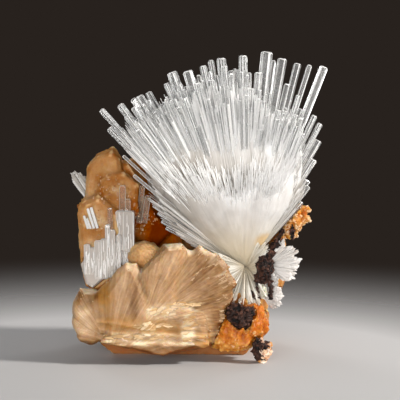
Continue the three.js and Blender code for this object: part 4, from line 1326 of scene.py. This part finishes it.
moved += 0.30 * noise(points, 9.0, 83) + 0.08 * noise(points, 3.0, 85)
points = move_points(mesh, points, normals, moved)
shade = 0.49 + 0.11 * laths + 0.08 * fine_laths - 0.34 * shaded_underside
shade += is_base * (0.16 * rough + 0.12 * ledges) + 0.14 * sheets + patch_shift(points, SHEAF_COLOUR_AND_SHADE_PATCHES)
streaky = 0.32 + 0.34 * is_fan + 0.16 * lobe_share - 0.16 * is_base
honey = 0.6 * near_any(points, HONEY_PATCHES) * (0.7 + 0.4 * rough)
store_look(mesh, shade, rim, angle, reach * 0.04, streaky, np.clip(honey, 0, 1))
add_piece("stilbite_sheaf_laths", mesh, sheaf_stilbite, ["stilbite_sheaf"], True)

# %% [markdown]
# The laths end at slightly different heights, so the rim of each blade is finely sawn. Single
# laths are added along the rims, in line with the fan, and pass them by up to half a millimetre.

# %% Rim laths
LATH_RINGS = [(0, 0.5), (0.5, 1.0), (0.94, 0.9), (1.0, 0.4)]
FAN_LATHS = 300
BLADE_LATHS = 60
BLADE_ROOT = np.array([-20.0, -16, 2])


def rim_laths(points, normals, chance, root, count, seed):
    random = np.random.default_rng(seed)
    chosen = pick(random, chance, count)
    ways = unit((points[chosen] - root) * [1, 0.12, 1])
    middle = points[chosen] + normals[chosen] * random.uniform(-0.15, 0.05, (count, 1))
    feet = middle - ways * random.uniform(1.5, 5, (count, 1))
    tips = middle + ways * random.uniform(0.0, 0.55, (count, 1))
    widths = random.uniform(0.2, 0.55, count)
    return prisms(feet, tips, widths, LATH_RINGS, SQUARE, 0.4, random.uniform(-0.3, 0.3, count))


near_front = (edge > 0.3) * (normals[:, 1] < -0.35)
fan_rim = near_front * is_fan * smooth_step(points[:, 0], -4, 2)
blade_rim = near_front * (1 - is_fan) * (points[:, 2] > 18)
laths = join([
    rim_laths(points, normals, fan_rim, SHEAF_ROOT, FAN_LATHS, seed=181),
    rim_laths(points, normals, blade_rim, BLADE_ROOT, BLADE_LATHS, seed=182),
])
shades = np.random.default_rng(183).uniform(0.3, 0.8, FAN_LATHS + BLADE_LATHS)
add_bits("rim_laths", laths, lath_stilbite, "stilbite_sheaf", shades)

# %% [markdown]
# Where the base broke, chips of the laths stick to it: thin pearly plates, nearly white. They
# are thinner than a cell of the sheaf's mesh, so they are prisms that lie on it.

# %% Pearly chips
CHIP_PATCHES = [
    ((-10, -22, 15.8), (5, 9, 1.5)), ((-14, -22, 11.5), (7, 9, 1.2)), ((-18, -24, 8.3), (13, 8, 0.9)),
    ((-3, -24, 11), (1.6, 8, 5)), ((-4, -22, 17.5), (6, 9, 0.9)),
]
CHIP_RINGS = [(0, 0.3), (0.2, 1.0), (0.8, 0.9), (1.0, 0.3)]
CHIPS = 180


def scatter_chips(points, normals, chance, count, small, large, seed):
    """Thin plates that lie nearly flat on a surface, where chance is high."""
    random = np.random.default_rng(seed)
    chosen = pick(random, chance, count)
    sizes = random.uniform(small, large, count)
    sideways = np.array([1, 0, 0.12]) + random.normal(0, 0.22, (count, 3))
    sideways -= normals[chosen] * (sideways * normals[chosen]).sum(1)[:, None]
    half = unit(sideways) * sizes[:, None] * 0.5
    middle = points[chosen] + normals[chosen] * random.uniform(-0.12, 0.1, (count, 1))
    widths = sizes * random.uniform(0.15, 0.4, count)
    turns = random.uniform(-0.6, 0.6, count)
    return prisms(middle - half, middle + half, widths, CHIP_RINGS, SQUARE, 0.6, turns)


chance = near_any(points, CHIP_PATCHES) * (normals[:, 1] < -0.3)
chips = scatter_chips(points, normals, chance, CHIPS, small=0.6, large=3.0, seed=86)
shades = np.random.default_rng(87).uniform(0.0, 0.8, CHIPS)
add_bits("pearly_chips", chips, chip_stilbite, "stilbite_sheaf", shades)

# %% [markdown]
# The ball is a small round bundle of the same laths, so it has ribs that start at its foot.
# Noise that knows only the direction from the foot gives the same height all along a rib.

# %% Ball
BALL_ROOT = np.array([-13.0, -8.5, 25.0])

mesh, points, normals = fine_copy("stilbite_ball", cell_mm=0.2, soften=3)
place = unit(points - BALL_ROOT)
ribs = noise(place * 10, 1.0, 91, octaves=3)
points = move_points(mesh, points, normals, 0.12 * ribs + 0.2 * noise(points, 3.0, 92))
shade = 0.52 + 0.22 * smooth_step(points[:, 2], 25, 33) + 0.1 * ribs
store_look(mesh, shade, 0.0, np.degrees(place[:, 0]) * 2, place[:, 1] * 3, 0.3)
add_piece("stilbite_ball_ribs", mesh, ball_stilbite, ["stilbite_ball"], True)

# %% [markdown]
# ## Orange crusts
# Small stilbite crystals, stained orange, cover the rock in rounded knobs. Thousands of
# spheres would do for them, but raised cells fit side by side without gaps in one surface. A
# few tiny blocks stand out of it.

# %% Crusts
BLOCK_RINGS = [(0, 0.9), (0.75, 1.0), (1.0, 0.6)]
KNOB_MM = 3.4
BASE_PATCHES = [
    ((8, -16, 3), (14, 12, 5), 0.22), ((4, -18, 9), (5, 10, 4), 0.10),
    ((13, -14, 13), (4, 10, 4), -0.14),
]


def scatter_blocks(points, normals, count, small, large, seed):
    random = np.random.default_rng(seed)
    chosen = random.choice(len(points), count, replace=False)
    sizes = random.uniform(small, large, count)
    ways = unit(normals[chosen] + random.normal(0, 0.45, (count, 3))) * sizes[:, None]
    feet, tips = points[chosen] - ways * 0.7, points[chosen] + ways * 0.6
    flat = random.uniform(0.5, 1, count)
    return prisms(feet, tips, sizes, BLOCK_RINGS, SQUARE, flat, random.uniform(0, 3, count))


def crust(node, name, seed, pale, blocks, knob_height, patches=()):
    mesh, points, normals = fine_copy(node, cell_mm=0.22, soften=3)
    knobs = cells(points, KNOB_MM)
    bumps = noise(points, 2.4, seed, octaves=3)
    fine = noise(points, 0.9, seed + 1, octaves=2)
    moved = knob_height * (knobs - 0.3) + 0.3 * bumps + 0.06 * fine
    points = move_points(mesh, points, normals, moved)
    shade = pale + 0.22 * (knobs - 0.4) + 0.16 * bumps + 0.06 * fine
    store_look(mesh, shade + patch_shift(points, patches))
    add_piece(name, mesh, orange_stilbite, [node], True)
    grains = scatter_blocks(points, normals, blocks, 0.3, 0.85, seed + 3)
    whiteness = np.random.default_rng(seed + 4).uniform(0, 0.8, blocks) ** 3
    shades = np.full(blocks, pale + 0.1)
    add_bits(name + "_grains", grains, grain_stilbite, node, shades, whiteness)


crust(
    "stilbite_orange_base", "orange_base_crust", seed=101, pale=0.52, blocks=60, knob_height=0.55,
    patches=BASE_PATCHES,
)
crust("stilbite_orange_cap", "orange_cap_crust", seed=111, pale=0.66, blocks=220, knob_height=0.5)

# %% [markdown]
# ## Basalt
# The rock is a fine, nearly black lava, weathered to a dull red-brown and full of gas holes.
# It crumbles into grains. The finish has one scale from black to the pale red-brown of
# weathered grains, and the ground of a hole and the gaps between grains get painted shade.

# %% Basalt finish
BASALT_STOPS = [(0.16, "#0C0605"), (0.42, "#33190F"), (0.60, "#5C3A2C"), (0.80, "#98705C")]
WEATHERING_MM = 1.2
PIT_SHADE = 0.6

basalt_finish, tree, shader = new_material("weathered_basalt")
where = add_node(tree, "TexCoord").outputs["Object"]
crumbly = {"Vector": where, "Scale": 1 / (WEATHERING_MM * MM), "Detail": 5.0, "Roughness": 0.7}
patches = add_node(tree, "TexNoise", crumbly)
pit_shade = add_node(tree, "Attribute", attribute_name="pit_shade").outputs["Fac"]
level = add_node(tree, "Math", {0: pit_shade, 1: -PIT_SHADE, 2: patches}, operation="MULTIPLY_ADD")
relief = {"Height": patches, "Strength": 0.8, "Distance": 0.35 * MM}
plug(tree, shader, {
    "Base Color": add_node(tree, "ValToRGB", {"Fac": level}, BASALT_STOPS),
    "Roughness": 0.6,
    "Specular IOR Level": 0.35,
    "Normal": add_node(tree, "Bump", relief),
})
print("basalt finish:", basalt_finish.name)

# %% [markdown]
# Bump would leave the outline of the rock smooth, so grains and holes are real relief: cells
# raised side by side, and round pits pushed into the mesh at random places. The four bits of
# rock differ only in size and in how many holes they have, so one function makes them all.

# %% Basalt pieces
CRUMB_MM = 1.3
LUMP_MM = 3.4


def basalt(node, name, seed, pits, growth):
    """A basalt piece. Growth makes up for what the pits take away. Returns points and normals."""
    mesh, points, normals = fine_copy(node, cell_mm=0.19, soften=1)
    random = np.random.default_rng(seed)
    centres = points[random.choice(len(points), pits, replace=False)]
    depth = np.zeros(len(points))
    for centre, radius in zip(centres, random.uniform(0.3, 0.75, pits)):
        away = np.linalg.norm(points - centre, axis=1)
        depth = np.maximum(depth, radius * 0.9 * np.sqrt(np.clip(1 - (away / radius) ** 2, 0, 1)))
    crumbs = cells(points, CRUMB_MM)
    lumps = 0.7 * (cells(points, LUMP_MM) - 0.4) + 0.35 * noise(points, 1.7, seed + 1, octaves=3)
    points = move_points(mesh, points, normals, lumps + 0.7 * (crumbs - 0.35) + growth - depth)
    # Painted shade: darker at the ground of each pit and in the gaps between crumbs.
    store(mesh, "pit_shade", np.clip(depth / 0.6 + 0.35 - crumbs, 0, 1))
    add_piece(name, mesh, basalt_finish, [node])
    return points, normals


basalt("basalt_vein", "basalt_vein_rock", seed=121, pits=170, growth=-0.25)
basalt("basalt_lower_lump", "basalt_lower_rock", seed=131, pits=70, growth=0.0)
points, normals = basalt("basalt_foot", "basalt_foot_rock", seed=141, pits=60, growth=0.05)
basalt("basalt_cap_strip", "basalt_strip_rock", seed=151, pits=14, growth=0.1)

# %% [markdown]
# A little of the orange crust, bleached to cream, still sticks to the foot's right side.

# %% Crust on the foot
FOOT_GRAINS = 90
right_side = smooth_step(normals[:, 0] - 0.5 * normals[:, 2], 0.3, 0.9) * (normals[:, 1] < 0.3)
chosen = np.argsort(-right_side)[: len(points) // 4]
grains = scatter_blocks(
    points[chosen], normals[chosen], FOOT_GRAINS, small=0.4, large=1.1, seed=142
)
random = np.random.default_rng(143)
bleached, shades = random.uniform(0, 0.8, FOOT_GRAINS), random.uniform(0.1, 0.8, FOOT_GRAINS)
add_bits("foot_grains", grains, grain_stilbite, "basalt_foot", shades, bleached)

# %% [markdown]
# ## Small crystals on the wall
# The group at the left is a row of upright prisms, bright and veiled, on a clear tablet, with
# one tall clear prism beside them. A pair of clear prisms stands above the ball, and two
# slivers lie on the wall. Their places and sizes were measured from the front, and their
# depth was guessed.

# %% Places of the columns
# Foot, tip and width of each prism, in mm.
VEILED_COLUMNS = [
    ((-32.19, -10.69, 25), (-32.29, -10.69, 35.1), 3.2),
    ((-28.79, -10.89, 23.6), (-28.89, -10.89, 35.7), 3.5),
    ((-26.19, -10.89, 24), (-26.29, -10.89, 39.9), 2.8),
    ((-24.29, -10.29, 25.4), (-24.29, -10.29, 36.8), 2.4),
    ((-21.99, -8.69, 31.6), (-21.99, -8.69, 43.8), 5.2),
    ((-22.09, -8.29, 27.4), (-22.09, -8.29, 35), 3),
]
CLEAR_COLUMNS = [
    ((-21.79, -7.69, 31), (-21.79, -7.69, 51.2), 3.1),
    ((-26.19, -10.49, 36), (-26.29, -10.49, 44.8), 1.3),
]
PAIR = [
    ((-18.79, -1.69, 40.6), (-17.39, -1.69, 50.8), 2.9),
    ((-17.09, -2.19, 39), (-15.79, -2.19, 47.4), 3.2),
]
SLIVERS = [
    ((-30.49, -10.19, 38.7), (-32.39, -10.19, 44.9), 2),
    ((-32.39, -10.19, 38.5), (-33.59, -10.19, 42.4), 1.6),
]
print(len(VEILED_COLUMNS + CLEAR_COLUMNS), "prisms at the left,", len(PAIR + SLIVERS), "on the wall")

# %% [markdown]
# One box for each prism would show a single flat face, so each is a bunch of thinner prisms
# that end at different heights. White streaks run just under the faces of the veiled ones.

# %% Columns
COLUMN_RINGS = [(0, 0.85), (0.06, 1.0), (0.955, 1.0), (0.985, 0.85), (1.0, 0.55)]
STREAKS_PER_COLUMN = 16


def split_rows(rows, member_mm, seed):
    """Each prism as a bunch of thinner ones side by side, which end at different heights."""
    random = np.random.default_rng(seed)
    members = []
    for foot, tip, width in rows:
        count = max(2, round(width / member_mm))
        size = width / count
        for i in range(count):
            shift = np.array([(i + 0.5) * size - width / 2, random.uniform(-0.6, 0.2), 0])
            top = np.array(tip) + shift
            top[2] -= (tip[2] - foot[2]) * random.choice([0, 0.04, 0.1, 0.2], p=[0.4, 0.2, 0.2, 0.2])
            members.append((np.array(foot) + shift, top, size * random.uniform(0.95, 1.3)))
    return members


def add_columns(name, rows, finish, corners, nodes, narrower=1.0):
    feet, tips, widths = (np.array(part, float) for part in zip(*rows))
    points, faces, _ = prisms(feet, tips, widths * narrower, COLUMN_RINGS, BEVELLED, 0.9, 0.1)
    piece = add_piece(name, build_mesh(name, points, faces), finish, nodes)
    frost_edges(piece, COLUMN_RINGS, corners)


def streak_fibres(rows, per_row, seed):
    """Thin white streaks just under the front faces of prisms."""
    random = np.random.default_rng(seed)
    groups = []
    for foot, tip, width in rows:
        low = (random.uniform(0.0, 0.8, per_row) ** 1.6)[:, None]
        high = low + random.uniform(0.1, 0.4, per_row)[:, None]
        side = random.uniform(-0.42, 0.42, per_row)[:, None] * [width, 0, 0]
        base = foot + side + [0, -0.46 * width, 0]
        feet, tips = (base + (tip - foot) * share for share in (low, np.minimum(high, 0.97)))
        groups.append(prisms(feet, tips, random.uniform(0.06, 0.26, per_row), FIBRE_RINGS, SQUARE))
    return groups


LEFT = "scolecite_left_columns"
SLIVER_NODES = ["scolecite_sliver_long", "scolecite_sliver_short"]
columns_split = split_rows(VEILED_COLUMNS, member_mm=2.1, seed=171)
clear_split = split_rows(CLEAR_COLUMNS, member_mm=1.5, seed=176)
pair_split = split_rows(PAIR, member_mm=1.5, seed=172)
slivers_split = split_rows(SLIVERS, member_mm=0.9, seed=173)
add_columns("veiled_columns", columns_split, stilbite_tinted_scolecite, veiled_scolecite, [LEFT])
add_columns("clear_columns", clear_split, tinted_scolecite, worn_and_tinted_scolecite, [LEFT])
add_columns("clear_pair", pair_split, tinted_scolecite, worn_and_tinted_scolecite, ["scolecite_prism_pair"])
add_columns("white_slivers", slivers_split, veiled_scolecite, veiled_scolecite, SLIVER_NODES, 0.7)
streaks = streak_fibres(columns_split, STREAKS_PER_COLUMN, seed=174)
add_prisms("column_streaks", streaks, white_scolecite, 175, (0.75, 1.1), LEFT)

# %% [markdown]
# The tablet is a thick plate with bevelled edges. Its outline shows from the front, so it is drawn
# from that outline at four depths, a little smaller at the front and the back.

# %% Clear tablet
TABLET = np.array([
    (-34.99, 28), (-33.49, 22.1), (-31.49, 20.8), (-28.29, 23.4), (-23.99, 26.6), (-26.59, 31),
    (-32.59, 31),
])
TABLET_FRONT, TABLET_BACK = -11.69, -8.29
BEVEL = 0.7

middle = TABLET.mean(0)
levels = [
    (TABLET_BACK, 0.86), (TABLET_BACK - BEVEL, 1.0), (TABLET_FRONT + BEVEL, 1.0), (TABLET_FRONT, 0.84),
]
rings = []
for depth, size in levels:
    ring = middle + (TABLET - middle) * size
    rings.append(np.column_stack([ring[:, 0], np.full(len(ring), depth), ring[:, 1]]))
tablet_mesh = build_mesh("clear_tablet", np.concatenate(rings), ring_faces(len(levels), len(TABLET)))
add_piece("clear_tablet", tablet_mesh, stilbite_tinted_scolecite, [LEFT])

# %% [markdown]
# The pale green grains in the vein's loop are sugary, so they are rounded cells side by side
# like the crumbs of the basalt, but soft in colour, and light enters them a little.

# %% Pale grains
GRAIN_MM = 1.3
MOTTLE_MM = 0.9

grain_finish, tree, shader = new_material("pale_green_grains")
where = add_node(tree, "TexCoord").outputs["Object"]
mottle = add_node(tree, "TexNoise", {"Vector": where, "Scale": 1 / (MOTTLE_MM * MM), "Detail": 3.0})
plug(tree, shader, {
    "Base Color": add_node(tree, "ValToRGB", {"Fac": mottle}, [(0.35, "#9EA08A"), (0.65, "#D6D8C8")]),
    "Roughness": 0.4,
    "Subsurface Weight": 0.3,
    "Subsurface Scale": 1.0 * MM,
})
mesh, points, normals = fine_copy("pale_grains", cell_mm=0.18, soften=1)
move_points(mesh, points, normals, 0.5 * (cells(points, GRAIN_MM) - 0.4))
add_piece("pale_green_lump", mesh, grain_finish, ["pale_grains"], True)
